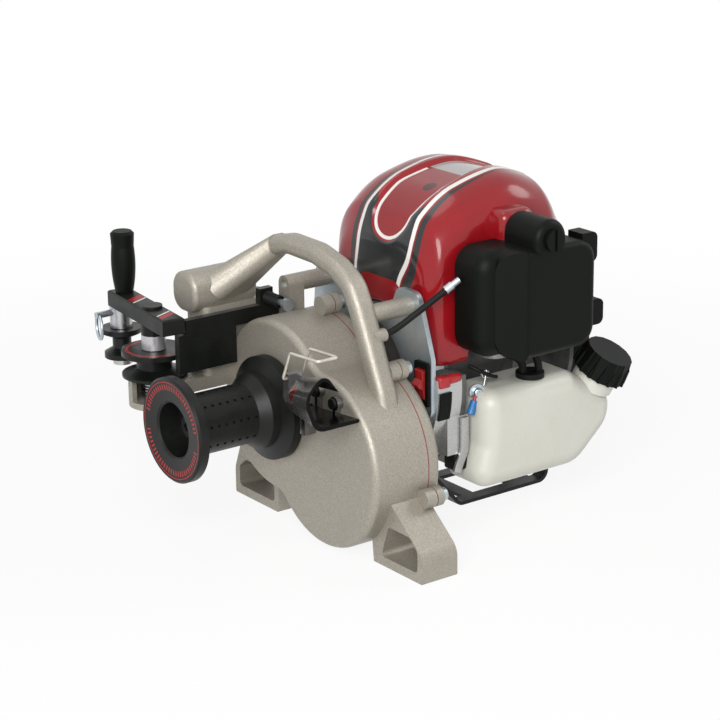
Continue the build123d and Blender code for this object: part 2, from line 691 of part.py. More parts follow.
# Front casing: lobes, feet, handle, roller arm and standoffs in one casting
with BuildPart() as front_casing:
    with BuildSketch(facing(CASE_BACK_Y)):
        add(lobes(0))
    extrude(amount=CASE_BACK_Y - FACE_Y)
    fillet(front_casing.faces().sort_by(Axis.Y)[0].edges(), CASE_EDGE)
    with BuildSketch(facing(CASE_BACK_Y)):
        with BuildLine():
            FilletPolyline((FOOT_START, 0), (FOOT_END, 0), (FOOT_END, FOOT_SIDE), *RIGHT_HAUNCH,
                           radius=[0, FOOT_TOE_R, *RIGHT_HAUNCH_R], close=True)
        make_face()
        with BuildLine():
            FilletPolyline((-FOOT_START, 0), (-FOOT_END, 0), (-FOOT_END, FOOT_SIDE), *LEFT_HAUNCH,
                           radius=[0, FOOT_TOE_R, *LEFT_HAUNCH_R], close=True)
        make_face()
    extrude(amount=CASE_BACK_Y - FOOT_FRONT_Y)
    with BuildLine(facing(HANDLE_Y)) as grip_line:
        FilletPolyline(*HANDLE_ROUTE, radius=HANDLE_BEND)
    with BuildSketch(Plane(origin=grip_line.line @ 0, x_dir=(0, 1, 0), z_dir=grip_line.line % 0)):
        RectangleRounded(HANDLE_DEPTH, HANDLE_T, HANDLE_CORNER)
    sweep(path=grip_line.line)
    with BuildSketch(Plane(origin=ROOT_POINT, x_dir=(0, 1, 0), z_dir=ROOT_LEAN)):
        RectangleRounded(*ROOT_SIZE, ROOT_CORNER)
    with BuildSketch(Plane(origin=ROOT_END, x_dir=(0, 1, 0), z_dir=ROOT_END_LEAN)):
        RectangleRounded(HANDLE_DEPTH + 2 * ROOT_END_COLLAR, HANDLE_T + 2 * ROOT_END_COLLAR,
                         HANDLE_CORNER + ROOT_END_COLLAR)
    loft()
    with BuildSketch(Plane.XY.offset(ARM_Z0)):
        with Locations(((ARM_X0 + ARM_X1) / 2, (ARM_FRONT_Y + ARM_BACK_Y) / 2)):
            RectangleRounded(ARM_X1 - ARM_X0, ARM_BACK_Y - ARM_FRONT_Y, ARM_CORNER)
    extrude(amount=ARM_Z1 - ARM_Z0)
    with BuildSketch(facing(BLOCK_BACK_Y)):
        with Locations((BLOCK_X, BLOCK_Z)):
            RectangleRounded(BLOCK_WIDTH, BLOCK_HEIGHT, BLOCK_CORNER)
    extrude(amount=BLOCK_BACK_Y - BLOCK_FRONT_Y)
    fillet(front_casing.faces().sort_by(Axis.Y)[0].edges(), BLOCK_EDGE)
    post(PIVOT_X, PIVOT_Y, CUP_Z0, CUP_Z1, CUP_R)
    block((ARM_X0 + ARM_CORNER, ARM_X1), (PIVOT_Y, ARM_FRONT_Y + ARM_CORNER), (ARM_Z0, CUP_Z1))
    rod(*LEFT_STAND, LEFT_STAND_FRONT_Y, PLATE_Y, STAND_R)
    block((LEFT_STAND[0] - STAND_R, LEFT_STAND[0] + STAND_R), (LEFT_STAND_FRONT_Y, CASE_BACK_Y),
          (DRUM_Z + CASE_R / 2, LEFT_STAND[1]))
    rod(*RIGHT_STAND, HANDLE_Y, PLATE_Y, STAND_R)
    for x, z in BOLT_POINTS:
        rod(x, z, CASE_BACK_Y - BOSS_DEPTH, CASE_BACK_Y, BOSS_R)
    rod(CABLE_BOSS_END[0], CABLE_BOSS_END[2], HANDLE_Y, CABLE_BOSS_END[1], CABLE_BOSS_R)
    with BuildSketch(facing(CASE_BACK_Y)):
        add(lobes(CASE_WALL))
    extrude(amount=CASE_BACK_Y - INNER_FACE_Y, mode=Mode.SUBTRACT)
    rod(DRUM_X, DRUM_Z, INNER_FACE_Y, FRONT_SEAT_Y + OUTPUT_BEARING[2], OUTPUT_BEARING[1] + SEAT_WALL)
    rod(LAY_X, LAY_Z, INNER_FACE_Y, FRONT_SEAT_Y + SMALL_BEARING[2], SMALL_BEARING[1] + SEAT_WALL)
    rod(DRUM_X, DRUM_Z, FRONT_SEAT_Y, FRONT_SEAT_Y + OUTPUT_BEARING[2], OUTPUT_BEARING[1] + FIT, Mode.SUBTRACT)
    rod(DRUM_X, DRUM_Z, FACE_Y, FRONT_SEAT_Y, OUTPUT_BEARING[0] + GAP, Mode.SUBTRACT)
    rod(LAY_X, LAY_Z, FRONT_SEAT_Y, FRONT_SEAT_Y + SMALL_BEARING[2], SMALL_BEARING[1] + FIT, Mode.SUBTRACT)
    post(PIVOT_X, PIVOT_Y, CUP_Z0 + CUP_FLOOR, CUP_Z1, CUP_R - CUP_WALL, Mode.SUBTRACT)
    block((PIVOT_X, PIVOT_X + CUP_R - CUP_WALL), (PIVOT_Y - CUP_R, PIVOT_Y),
          (CUP_Z0 + CUP_FLOOR, CUP_Z1), Mode.SUBTRACT)
    post(PIVOT_X, PIVOT_Y, CUP_Z0, CUP_Z1, PIVOT_R + FIT, Mode.SUBTRACT)
    for x, z in BOLT_POINTS:
        rod(x, z, CASE_BACK_Y - BOSS_DEPTH + SEAT_LIP, CASE_BACK_Y, BOLT_R + FIT, Mode.SUBTRACT)
    for x, z in (LEFT_STAND, RIGHT_STAND):
        rod(x, z, LEFT_STAND_FRONT_Y, PLATE_Y, STAND_BOLT_R + FIT, Mode.SUBTRACT)
    for y, z in SIDE_SCREWS:
        spar(y, z, ARM_X1 - SIDE_SCREW_LENGTH, ARM_X1, BOLT_R + FIT, Mode.SUBTRACT)
    with BuildSketch(facing(CASE_BACK_Y)):
        with BuildLine():
            FilletPolyline((FOOT_START + RIGHT_WINDOW_START, FOOT_FLOOR), (FOOT_END - WINDOW_WALL, FOOT_FLOOR),
                           (FOOT_END - WINDOW_WALL, WINDOW_TOP - WINDOW_CUT),
                           (FOOT_END - WINDOW_WALL - WINDOW_CUT, WINDOW_TOP),
                           (FOOT_START + 2 * RIGHT_WINDOW_START, WINDOW_TOP), radius=WINDOW_R, close=True)
        make_face()
        with BuildLine():
            FilletPolyline((-FOOT_START - LEFT_WINDOW_START, FOOT_FLOOR), (WINDOW_WALL - FOOT_END, FOOT_FLOOR),
                           (WINDOW_WALL - FOOT_END, WINDOW_TOP - WINDOW_CUT),
                           (WINDOW_WALL - FOOT_END + WINDOW_CUT, LEFT_WINDOW_TOP),
                           (-FOOT_START - LEFT_WINDOW_START, LEFT_WINDOW_TOP), radius=WINDOW_R, close=True)
        make_face()
    extrude(amount=CASE_BACK_Y - FOOT_FRONT_Y, mode=Mode.SUBTRACT)

# Sealant bead between the casing halves
with BuildPart() as casing_seal:
    with BuildSketch(facing(COVER_FRONT_Y)):
        add(lobes(0))
        add(lobes(CASE_WALL), mode=Mode.SUBTRACT)
    extrude(amount=GASKET)

# Rear casing cover with bearing seats and the long input boss
with BuildPart() as rear_cover:
    with BuildSketch(facing(COVER_BACK_Y)):
        add(lobes(0))
    extrude(amount=COVER_DEPTH)
    fillet(rear_cover.faces().sort_by(Axis.Y)[-1].edges(), CASE_EDGE)
    for x, z in BOLT_POINTS:
        rod(x, z, COVER_FRONT_Y, COVER_BACK_Y - CASE_EDGE, BOSS_R)
    with BuildSketch(facing(COVER_BACK_Y - CASE_WALL)):
        add(lobes(CASE_WALL))
    extrude(amount=COVER_DEPTH - CASE_WALL, mode=Mode.SUBTRACT)
    rod(DRUM_X, DRUM_Z, REAR_SEAT_Y, COVER_BACK_Y, TAIL_BEARING[1] + SEAT_WALL)
    rod(LAY_X, LAY_Z, REAR_SEAT_Y, COVER_BACK_Y, SMALL_BEARING[1] + SEAT_WALL)
    rod(CRANK_X, CRANK_Z, REAR_SEAT_Y, INPUT_BOSS_BACK_Y, SMALL_BEARING[1] + SEAT_WALL)
    rod(DRUM_X, DRUM_Z, COVER_FRONT_Y, REAR_SEAT_Y + TAIL_BEARING[2], TAIL_BEARING[1] + FIT, Mode.SUBTRACT)
    rod(LAY_X, LAY_Z, COVER_FRONT_Y, REAR_SEAT_Y + SMALL_BEARING[2], SMALL_BEARING[1] + FIT, Mode.SUBTRACT)
    rod(CRANK_X, CRANK_Z, COVER_FRONT_Y, INPUT_BOSS_BACK_Y, SMALL_BEARING[1] + FIT, Mode.SUBTRACT)
    for x, z in BOLT_POINTS:
        rod(x, z, COVER_FRONT_Y, COVER_BACK_Y, BOLT_R + FIT, Mode.SUBTRACT)

# Casing bolts, put in from behind
with BuildPart() as casing_bolts:
    for x, z in BOLT_POINTS:
        rod(x, z, CASE_BACK_Y - BOSS_DEPTH + SEAT_LIP, COVER_BACK_Y - CASE_EDGE, BOLT_R)
        rod(x, z, COVER_BACK_Y - CASE_EDGE, COVER_BACK_Y, 2 * BOLT_R)

# Ball bearings of the three shafts
with BuildPart() as shaft_bearings:
    for x, z, front, size in ((DRUM_X, DRUM_Z, FRONT_SEAT_Y, OUTPUT_BEARING),
                              (DRUM_X, DRUM_Z, REAR_SEAT_Y, TAIL_BEARING),
                              (LAY_X, LAY_Z, FRONT_SEAT_Y, SMALL_BEARING),
                              (LAY_X, LAY_Z, REAR_SEAT_Y, SMALL_BEARING),
                              (CRANK_X, CRANK_Z, REAR_SEAT_Y, SMALL_BEARING),
                              (CRANK_X, CRANK_Z, INPUT_BOSS_BACK_Y - SMALL_BEARING[2] - EPS, SMALL_BEARING)):
        rod(x, z, front, front + size[2], size[1])
        rod(x, z, front, front + size[2], size[0] + FIT, Mode.SUBTRACT)

# Output shaft from the drum screw to the tail bearing
with BuildPart() as output_shaft:
    rod(DRUM_X, DRUM_Z, RECESS_Y + EPS, BASE_BACK_Y, SPINDLE_R)
    rod(DRUM_X, DRUM_Z, BASE_BACK_Y, FRONT_SEAT_Y + OUTPUT_BEARING[2], OUTPUT_BEARING[0])
    rod(DRUM_X, DRUM_Z, FRONT_SEAT_Y + OUTPUT_BEARING[2], COVER_FRONT_Y, WHEEL_BORE_R)
    rod(DRUM_X, DRUM_Z, COVER_FRONT_Y, REAR_SEAT_Y + TAIL_BEARING[2], TAIL_BEARING[0])
    rod(DRUM_X, DRUM_Z, RECESS_Y, RECESS_Y + DRUM_SCREW_LENGTH, DRUM_SCREW_R + FIT, Mode.SUBTRACT)

# Capstan drum: front flange with a deep recess, pierced barrel, cone and base disc
with BuildPart() as capstan_drum:
    with BuildSketch(turning(DRUM_X, DRUM_Z)):
        with BuildLine():
            Polyline((SPINDLE_R + FIT, BASE_BACK_Y), (FLANGE_R, BASE_BACK_Y), (FLANGE_R, BASE_FRONT_Y),
                     (CONE_R, BASE_FRONT_Y - FLANGE_EDGE), (CONE_R, CONE_END_Y), (BARREL_R, CONE_START_Y),
                     (BARREL_R, DRUM_FRONT_Y + 2 * FLANGE_T), (FLANGE_R, DRUM_FRONT_Y + FLANGE_T),
                     (FLANGE_R, DRUM_FRONT_Y + DISH), (FLANGE_R - DISH, DRUM_FRONT_Y),
                     (RECESS_R + DISH, DRUM_FRONT_Y + DISH), (RECESS_R, DRUM_FRONT_Y + 2 * DISH),
                     (RECESS_R, RECESS_Y), (DRUM_SCREW_R + FIT, RECESS_Y),
                     (DRUM_SCREW_R + FIT, RECESS_Y + EPS), (SPINDLE_R + FIT, RECESS_Y + EPS), close=True)
        make_face()
    revolve(axis=along_y(DRUM_X, DRUM_Z))
    for row in range(HOLE_ROWS):
        x, z = polar(DRUM_X, DRUM_Z, BARREL_R, row * 360 / HOLE_ROWS + HOLE_TURN)
        out = (x - DRUM_X, 0, z - DRUM_Z)
        for hole in range(HOLES_PER_ROW):
            with Locations(Plane(origin=(x, CONE_START_Y - HOLE_START - hole * HOLE_PITCH, z), z_dir=out)):
                Cylinder(HOLE_R, 2 * HOLE_DEPTH, mode=Mode.SUBTRACT)

# Screw with washer face that holds the drum on its shaft
with BuildPart() as drum_screw:
    rod(DRUM_X, DRUM_Z, RECESS_Y - DRUM_SCREW_HEAD_T, RECESS_Y, DRUM_SCREW_HEAD_R)
    rod(DRUM_X, DRUM_Z, RECESS_Y, RECESS_Y + DRUM_SCREW_LENGTH - GAP, DRUM_SCREW_R)
    with BuildSketch(facing(RECESS_Y - DRUM_SCREW_HEAD_T / 2)):
        with Locations((DRUM_X, DRUM_Z)):
            RegularPolygon(DRUM_SCREW_HEAD_R / 2, 6)
    extrude(amount=DRUM_SCREW_HEAD_T / 2, mode=Mode.SUBTRACT)

# Output wheel on the drum shaft
with BuildPart() as output_wheel:
    with BuildSketch(facing(COARSE_FRONT_Y + COARSE_WIDTH)):
        with Locations((DRUM_X, DRUM_Z)):
            add(gear_outline(COARSE_MODULE, COARSE_TEETH, DRUM_BEARING - 180))
    extrude(amount=COARSE_WIDTH)
    rod(DRUM_X, DRUM_Z, COARSE_FRONT_Y, COARSE_FRONT_Y + COARSE_WIDTH, WHEEL_BORE_R + FIT, Mode.SUBTRACT)

# Layshaft with its pinion cut on it
with BuildPart() as layshaft:
    with BuildSketch(facing(COARSE_FRONT_Y + COARSE_WIDTH + PINION_EXTRA)):
        with Locations((LAY_X, LAY_Z)):
            add(gear_outline(COARSE_MODULE, PINION_TEETH, DRUM_BEARING + 180 / PINION_TEETH))
    extrude(amount=COARSE_WIDTH + 2 * PINION_EXTRA)
    rod(LAY_X, LAY_Z, FRONT_SEAT_Y, FRONT_SEAT_Y + SMALL_BEARING[2], SMALL_BEARING[0])
    rod(LAY_X, LAY_Z, FRONT_SEAT_Y + SMALL_BEARING[2], COARSE_FRONT_Y, LAY_R)
    rod(LAY_X, LAY_Z, COARSE_FRONT_Y + COARSE_WIDTH + PINION_EXTRA, COVER_FRONT_Y, FINE_BORE_R)
    rod(LAY_X, LAY_Z, COVER_FRONT_Y, REAR_SEAT_Y + SMALL_BEARING[2], SMALL_BEARING[0])

# First-stage wheel on the layshaft
with BuildPart() as layshaft_wheel:
    with BuildSketch(facing(FINE_FRONT_Y + FINE_WIDTH)):
        with Locations((LAY_X, LAY_Z)):
            add(gear_outline(FINE_MODULE, FINE_TEETH, CRANK_BEARING))
    extrude(amount=FINE_WIDTH)
    rod(LAY_X, LAY_Z, FINE_FRONT_Y, FINE_FRONT_Y + FINE_WIDTH, FINE_BORE_R + FIT, Mode.SUBTRACT)

# Input shaft with its pinion, carried by the long boss of the cover
with BuildPart() as input_shaft:
    with BuildSketch(facing(FINE_FRONT_Y + FINE_WIDTH + PINION_EXTRA)):
        with Locations((CRANK_X, CRANK_Z)):
            add(gear_outline(FINE_MODULE, PINION_TEETH, CRANK_BEARING + 180 + 180 / PINION_TEETH))
    extrude(amount=FINE_WIDTH + PINION_EXTRA)
    rod(CRANK_X, CRANK_Z, FINE_FRONT_Y + FINE_WIDTH, BELL_FRONT_Y + BELL_DISC_T, INPUT_R)

# Clutch bell on the input shaft
with BuildPart() as clutch_bell:
    rod(CRANK_X, CRANK_Z, BELL_FRONT_Y, BELL_BACK_Y, BELL_R)
    rod(CRANK_X, CRANK_Z, BELL_FRONT_Y + BELL_DISC_T, BELL_BACK_Y, BELL_R - BELL_WALL, Mode.SUBTRACT)
    rod(CRANK_X, CRANK_Z, INPUT_BOSS_BACK_Y + GAP, BELL_FRONT_Y, BELL_HUB_R)
    rod(CRANK_X, CRANK_Z, INPUT_BOSS_BACK_Y, BELL_BACK_Y, INPUT_R + FIT, Mode.SUBTRACT)

# Black side plate on the roller arm, with a tab for the spring bolt
with BuildPart() as side_plate:
    with BuildSketch(Plane.YZ.offset(ARM_X1)):
        with BuildLine():
            Polyline((SIDE_FRONT_Y, SIDE_Z0), (FACE_Y - GAP, SIDE_Z0), (FACE_Y - GAP, TONGUE_Z0),
                     (ARM_BACK_Y, TONGUE_Z0), (ARM_BACK_Y, SIDE_Z1), (TAB_Y + TAB_W / 2, SIDE_Z1),
                     (TAB_Y + TAB_W / 2, TAB_Z + TAB_RISE), (TAB_Y - TAB_W / 2, TAB_Z + TAB_RISE),
                     (TAB_Y - TAB_W / 2, SIDE_Z1), (SIDE_STEP_Y, SIDE_Z1), (SIDE_STEP_Y, SIDE_LOW_Z1),
                     (SIDE_FRONT_Y, SIDE_LOW_Z1), close=True)
        make_face()
    extrude(amount=PLATE_T)
    spar(TAB_Y, TAB_Z, ARM_X1, PLATE_X1, SPRING_BOLT_R + FIT, Mode.SUBTRACT)
    for y, z in SIDE_SCREWS:
        spar(y, z, ARM_X1, PLATE_X1, BOLT_R + FIT, Mode.SUBTRACT)
        spar(y, z, PLATE_X1 - PLATE_T / 2, PLATE_X1, 2 * BOLT_R + FIT, Mode.SUBTRACT)

# Screws of the side plate, with round heads
with BuildPart() as side_screws:
    for y, z in SIDE_SCREWS:
        spar(y, z, ARM_X1 - SIDE_SCREW_LENGTH, PLATE_X1 - PLATE_T / 2, BOLT_R)
        spar(y, z, PLATE_X1 - PLATE_T / 2, PLATE_X1, 2 * BOLT_R)

# Bolt that carries the black spring
with BuildPart() as spring_bolt:
    spar(TAB_Y, TAB_Z, ARM_X1, PLATE_X1 + SPRING_BOLT_LENGTH, SPRING_BOLT_R)
    spar(TAB_Y, TAB_Z, PLATE_X1 + SPRING_BOLT_LENGTH, PLATE_X1 + SPRING_BOLT_LENGTH + SPRING_HEAD_T,
         2 * SPRING_BOLT_R)

# Pivot bolt of the lever, fixed in the cup
with BuildPart() as pivot_bolt:
    post(PIVOT_X, PIVOT_Y, CUP_Z0, LEVER_Z1 + EPS, PIVOT_R)
    post(PIVOT_X, PIVOT_Y, LEVER_Z1 + EPS, LEVER_Z1 + EPS + PIVOT_HEAD_T, PIVOT_HEAD_R)

# Near spool, its bush above it
with BuildPart() as near_spool:
    with BuildSketch(upright(PIVOT_X, PIVOT_Y)):
        with BuildLine():
            Polyline((PIVOT_R + FIT, NEAR_Z0), (NEAR_FLANGE_R, NEAR_Z0), (NEAR_FLANGE_R, NEAR_Z0 + FLANGE_EDGE / 2),
                     (NEAR_WAIST_R, NEAR_Z0 + 1.5 * FLANGE_EDGE), (NEAR_WAIST_R, NEAR_Z1 - 1.8 * FLANGE_EDGE),
                     (NEAR_FLANGE_R, NEAR_Z1 - FLANGE_EDGE), (NEAR_FLANGE_R, NEAR_Z1), (PIVOT_R + FIT, NEAR_Z1),
                     close=True)
        make_face()
    revolve(axis=along_z(PIVOT_X, PIVOT_Y))

with BuildPart() as pivot_bush:
    post(PIVOT_X, PIVOT_Y, NEAR_Z1 + GAP, LEVER_Z0 - EPS, BUSH_R)
    post(PIVOT_X, PIVOT_Y, NEAR_Z1 + GAP, LEVER_Z0 - EPS, PIVOT_R + FIT, Mode.SUBTRACT)

# Lever bar with the bores for its pivot, axle and grip stud
with BuildPart() as lever_bar:
    with BuildSketch(LEVER_PLANE):
        with Locations(((SPOOL_CENTRES + LEVER_AFTER - LEVER_BEFORE) / 2, 0)):
            Rectangle(SPOOL_CENTRES + LEVER_AFTER + LEVER_BEFORE, LEVER_W)
    extrude(amount=LEVER_T)
    chamfer(lever_bar.faces().sort_by(Axis.Z)[-1].edges(), LEVER_EDGE)
    post(PIVOT_X, PIVOT_Y, LEVER_Z0, LEVER_Z1, PIVOT_R + FIT, Mode.SUBTRACT)
    post(FAR_X, FAR_Y, LEVER_Z0, LEVER_Z1 - LEVER_EDGE, FAR_AXLE_R + FIT, Mode.SUBTRACT)

# Turned grip on the lever
with BuildPart() as lever_grip:
    with BuildSketch(upright(GRIP_X, GRIP_Y)):
        with BuildLine():
            Line((0, LEVER_Z1), (GRIP_NECK_R, LEVER_Z1))
            ThreePointArc((GRIP_NECK_R, LEVER_Z1), (GRIP_R, LEVER_Z1 + GRIP_HEIGHT * GRIP_BELLY),
                          (GRIP_R - GRIP_DIP, LEVER_Z1 + GRIP_HEIGHT * GRIP_WAIST))
            Polyline((GRIP_R - GRIP_DIP, LEVER_Z1 + GRIP_HEIGHT * GRIP_WAIST), (GRIP_R, GRIP_TOP_Z - GRIP_EDGE),
                     (GRIP_R - GRIP_EDGE, GRIP_TOP_Z), (0, GRIP_TOP_Z), (0, LEVER_Z1))
        make_face()
    revolve(axis=along_z(GRIP_X, GRIP_Y))

# Far spool on its axle under the lever
with BuildPart() as far_axle:
    post(FAR_X, FAR_Y, FAR_Z0 - GAP, LEVER_Z1 - LEVER_EDGE, FAR_AXLE_R)
    post(FAR_X, FAR_Y, FAR_Z0 - GAP - FAR_HEAD_T, FAR_Z0 - GAP, FAR_HEAD_R)

with BuildPart() as far_bush:
    post(FAR_X, FAR_Y, FAR_Z1 + GAP, LEVER_Z0, FAR_BUSH_R)
    post(FAR_X, FAR_Y, FAR_Z1 + GAP, LEVER_Z0, FAR_AXLE_R + FIT, Mode.SUBTRACT)
    rod(FAR_X, LEVER_Z0 - PIN_DROP, FAR_Y - BUSH_R, FAR_Y - FAR_AXLE_R - FIT, PIN_R + FIT, Mode.SUBTRACT)

with BuildPart() as far_spool:
    with BuildSketch(upright(FAR_X, FAR_Y)):
        with BuildLine():
            Polyline((FAR_AXLE_R + FIT, FAR_Z0), (FAR_BOTTOM_R, FAR_Z0), (FAR_BOTTOM_R, FAR_Z0 + FLANGE_EDGE),
                     (FAR_WAIST_R, FAR_Z0 + 2 * FLANGE_EDGE), (FAR_WAIST_R, FAR_Z1 - 2 * FLANGE_EDGE),
                     (FAR_TOP_R, FAR_Z1 - FLANGE_EDGE), (FAR_TOP_R, FAR_Z1), (FAR_AXLE_R + FIT, FAR_Z1),
                     close=True)
        make_face()
    revolve(axis=along_z(FAR_X, FAR_Y))

# Lock pin in the far bush, with its pull ring
PIN_Z = LEVER_Z0 - PIN_DROP
PIN_TIP_Y = FAR_Y - BUSH_R - PIN_LENGTH
RING_POINT = (FAR_X, PIN_TIP_Y + PIN_R, PIN_Z)
with BuildPart() as lock_pin:
    rod(FAR_X, PIN_Z, PIN_TIP_Y, FAR_Y - FAR_AXLE_R - GAP, PIN_R)
    with Locations(Plane(origin=RING_POINT, z_dir=(RING_WAY[1], -RING_WAY[0], 0))):
        Cylinder(RING_WIRE + RING_ROOM, 4 * PIN_R, mode=Mode.SUBTRACT)

with BuildPart() as pull_ring:
    with Locations(Plane(origin=(RING_POINT[0], RING_POINT[1], RING_POINT[2] - RING_R), z_dir=RING_WAY)):
        Torus(RING_R, RING_WIRE)

# Springs
lever_spring = coil(LEVER_SPRING, Plane(origin=(PIVOT_X, PIVOT_Y, CUP_Z0 + CUP_FLOOR + LEVER_SPRING[1] + EPS)))
bolt_spring = coil(BOLT_SPRING, Plane(origin=(PLATE_X1 + 2 * BOLT_SPRING[1], TAB_Y, TAB_Z), x_dir=(0, 1, 0),
                                      z_dir=(1, 0, 0)))

# Rope guide: a funnel open towards the casing face, narrow at the drum and wide at its mouth
def funnel(throat, throat_radii, mouth, mouth_radii):
    """Closed solid from the throat outline to the mouth outline, with rounded corners."""
    with BuildPart() as solid:
        for x, outline, radii in ((GUIDE_THROAT_X, throat, throat_radii), (GUIDE_MOUTH_X, mouth, mouth_radii)):
            with BuildSketch(Plane.YZ.offset(x)):
                with BuildLine():
                    FilletPolyline(*outline, radius=radii, close=True)
                make_face()
        loft()
    return solid.part


with BuildPart() as rope_guide:
    add(funnel(GUIDE_THROAT, GUIDE_THROAT_R, GUIDE_MOUTH, GUIDE_MOUTH_R))
    block(GUIDE_TAB_X, (GUIDE_TAB_Y, GUIDE_BACK_Y), GUIDE_TAB_Z)
    block((HINGE_X - HINGE_T / 2, HINGE_X + HINGE_T / 2), (HINGE_Y - HINGE_W / 2, HINGE_Y + HINGE_W / 2),
          (HINGE_Z - HINGE_DROP, HINGE_Z + HINGE_RISE))
    add(funnel(GUIDE_THROAT_BORE, GUIDE_THROAT_BORE_R, GUIDE_MOUTH_BORE, GUIDE_MOUTH_BORE_R),
        mode=Mode.SUBTRACT)
    for x, z in GUIDE_SCREWS:
        rod(x, z, GUIDE_BACK_Y - SCREW_BOSS_T, GUIDE_BACK_Y, SCREW_BOSS_R)
        block((x - SCREW_RIB_T / 2, x + SCREW_RIB_T / 2), (GUIDE_BACK_Y - SCREW_BOSS_T, GUIDE_BACK_Y),
              (SCREW_RIB_Z, z))
    rod(HINGE_X, HINGE_Z, HINGE_Y - HINGE_W / 2, HINGE_Y + HINGE_W / 2, GATE_R + FIT, Mode.SUBTRACT)
    for x, z in GUIDE_SCREWS:
        rod(x, z, GUIDE_BACK_Y - SCREW_BOSS_T, GUIDE_BACK_Y, GUIDE_SCREW_R + FIT, Mode.SUBTRACT)

# Screws of the guide
with BuildPart() as guide_screws:
    for x, z in GUIDE_SCREWS:
        rod(x, z, GUIDE_BACK_Y - SCREW_BOSS_T, GUIDE_BACK_Y, GUIDE_SCREW_R)
        rod(x, z, GUIDE_BACK_Y - SCREW_BOSS_T - GUIDE_SCREW_HEAD_T, GUIDE_BACK_Y - SCREW_BOSS_T, 2 * GUIDE_SCREW_R)

# Wire gate over the guide, turned in at both ends into the hinge block
GATE_HALF = HINGE_W / 2 + GATE_OUT
GATE_KNEE_X, GATE_KNEE_Z = HINGE_X + GATE_KNEE[0], HINGE_Z + GATE_KNEE[1]
GATE_END_X, GATE_END_Z = HINGE_X + GATE_END[0], HINGE_Z + GATE_END[1]
GATE_INNER = HINGE_W / 2 - GATE_IN
GATE_ROUTE = [(HINGE_X, HINGE_Y + GATE_INNER, HINGE_Z), (HINGE_X, HINGE_Y + GATE_HALF, HINGE_Z),
              (GATE_KNEE_X, HINGE_Y + GATE_HALF, GATE_KNEE_Z), (GATE_END_X, HINGE_Y + GATE_HALF, GATE_END_Z),
              (GATE_END_X, HINGE_Y - GATE_HALF, GATE_END_Z), (GATE_KNEE_X, HINGE_Y - GATE_HALF, GATE_KNEE_Z),
              (HINGE_X, HINGE_Y - GATE_HALF, HINGE_Z), (HINGE_X, HINGE_Y - GATE_INNER, HINGE_Z)]
wire_gate = tube(GATE_ROUTE, GATE_R, GATE_BEND)

# Engine plate, zinc plated, hung on the two standoffs
with BuildPart() as engine_plate:
    with BuildSketch(facing(PLATE_Y + ENGINE_PLATE_T)):
        with BuildLine():
            FilletPolyline(*PLATE_OUTLINE, radius=PLATE_CORNER, close=True)
        make_face()
        with Locations((CRANK_X, CRANK_Z)):
            Circle(CLUTCH_BORE_R, mode=Mode.SUBTRACT)
        with Locations(LEFT_STAND, RIGHT_STAND):
            Circle(STAND_BOLT_R + FIT, mode=Mode.SUBTRACT)
        with Locations((SWITCH_X, SWITCH_Z)):
            Rectangle(SWITCH_BODY[0] + EPS, SWITCH_BODY[1] + EPS, mode=Mode.SUBTRACT)
    extrude(amount=ENGINE_PLATE_T)

# Frame of the stop switch: a rim on the plate and a body in the plate's cut-out
ROCKER_Y = PLATE_Y - SWITCH_FRAME_T - ROCKER_RISE + ROCKER_T / 2
with BuildPart() as switch_frame:
    with BuildSketch(facing(PLATE_Y)):
        with Locations((SWITCH_X, SWITCH_Z)):
            RectangleRounded(*SWITCH_FRAME, SWITCH_FRAME_T)
    extrude(amount=SWITCH_FRAME_T)
    with BuildSketch(facing(SWITCH_BACK_Y)):
        with Locations((SWITCH_X, SWITCH_Z)):
            Rectangle(*SWITCH_BODY)
    extrude(amount=SWITCH_BACK_Y - PLATE_Y)
    with BuildSketch(facing(SWITCH_BACK_Y - SWITCH_WALL)):
        with Locations((SWITCH_X, SWITCH_Z)):
            Rectangle(ROCKER_W + GAP, 2 * ROCKER_HALF + 2 * ROCKER_ROOM)
    extrude(amount=SWITCH_BACK_Y - SWITCH_WALL - PLATE_Y + SWITCH_FRAME_T, mode=Mode.SUBTRACT)

# Rocker of the stop switch, with a finger ridge across its middle
with BuildPart() as flat_rocker:
    with BuildSketch(facing(ROCKER_T / 2)):
        Rectangle(ROCKER_W, 2 * ROCKER_HALF)
    extrude(amount=ROCKER_T)
    fillet(flat_rocker.faces().sort_by(Axis.Y)[0].edges(), ROCKER_EDGE)
    with BuildSketch(Plane.YZ.offset(-ROCKER_W / 2)):
        with BuildLine():
            Polyline((-ROCKER_T / 4, -2 * RIDGE_W), (-ROCKER_T / 2 - RIDGE_RISE, -RIDGE_W / 3),
                     (-ROCKER_T / 2 - RIDGE_RISE, RIDGE_W / 3), (-ROCKER_T / 4, 2 * RIDGE_W), close=True)
        make_face()
    extrude(amount=ROCKER_W)
switch_rocker = Location((SWITCH_X, ROCKER_Y, SWITCH_Z), (ROCKER_TILT, 0, 0)) * flat_rocker.part

# Bolts with washers that hold the plate on the standoffs
with BuildPart() as plate_bolts:
    for x, z in (LEFT_STAND, RIGHT_STAND):
        rod(x, z, LEFT_STAND_FRONT_Y + SEAT_LIP, FAN_FRONT_Y, STAND_BOLT_R)
        rod(x, z, FAN_FRONT_Y, FAN_FRONT_Y + WASHER_T, WASHER_R)
        rod(x, z, FAN_FRONT_Y + WASHER_T, FAN_FRONT_Y + WASHER_T + STAND_HEAD_T, STAND_HEAD_R)

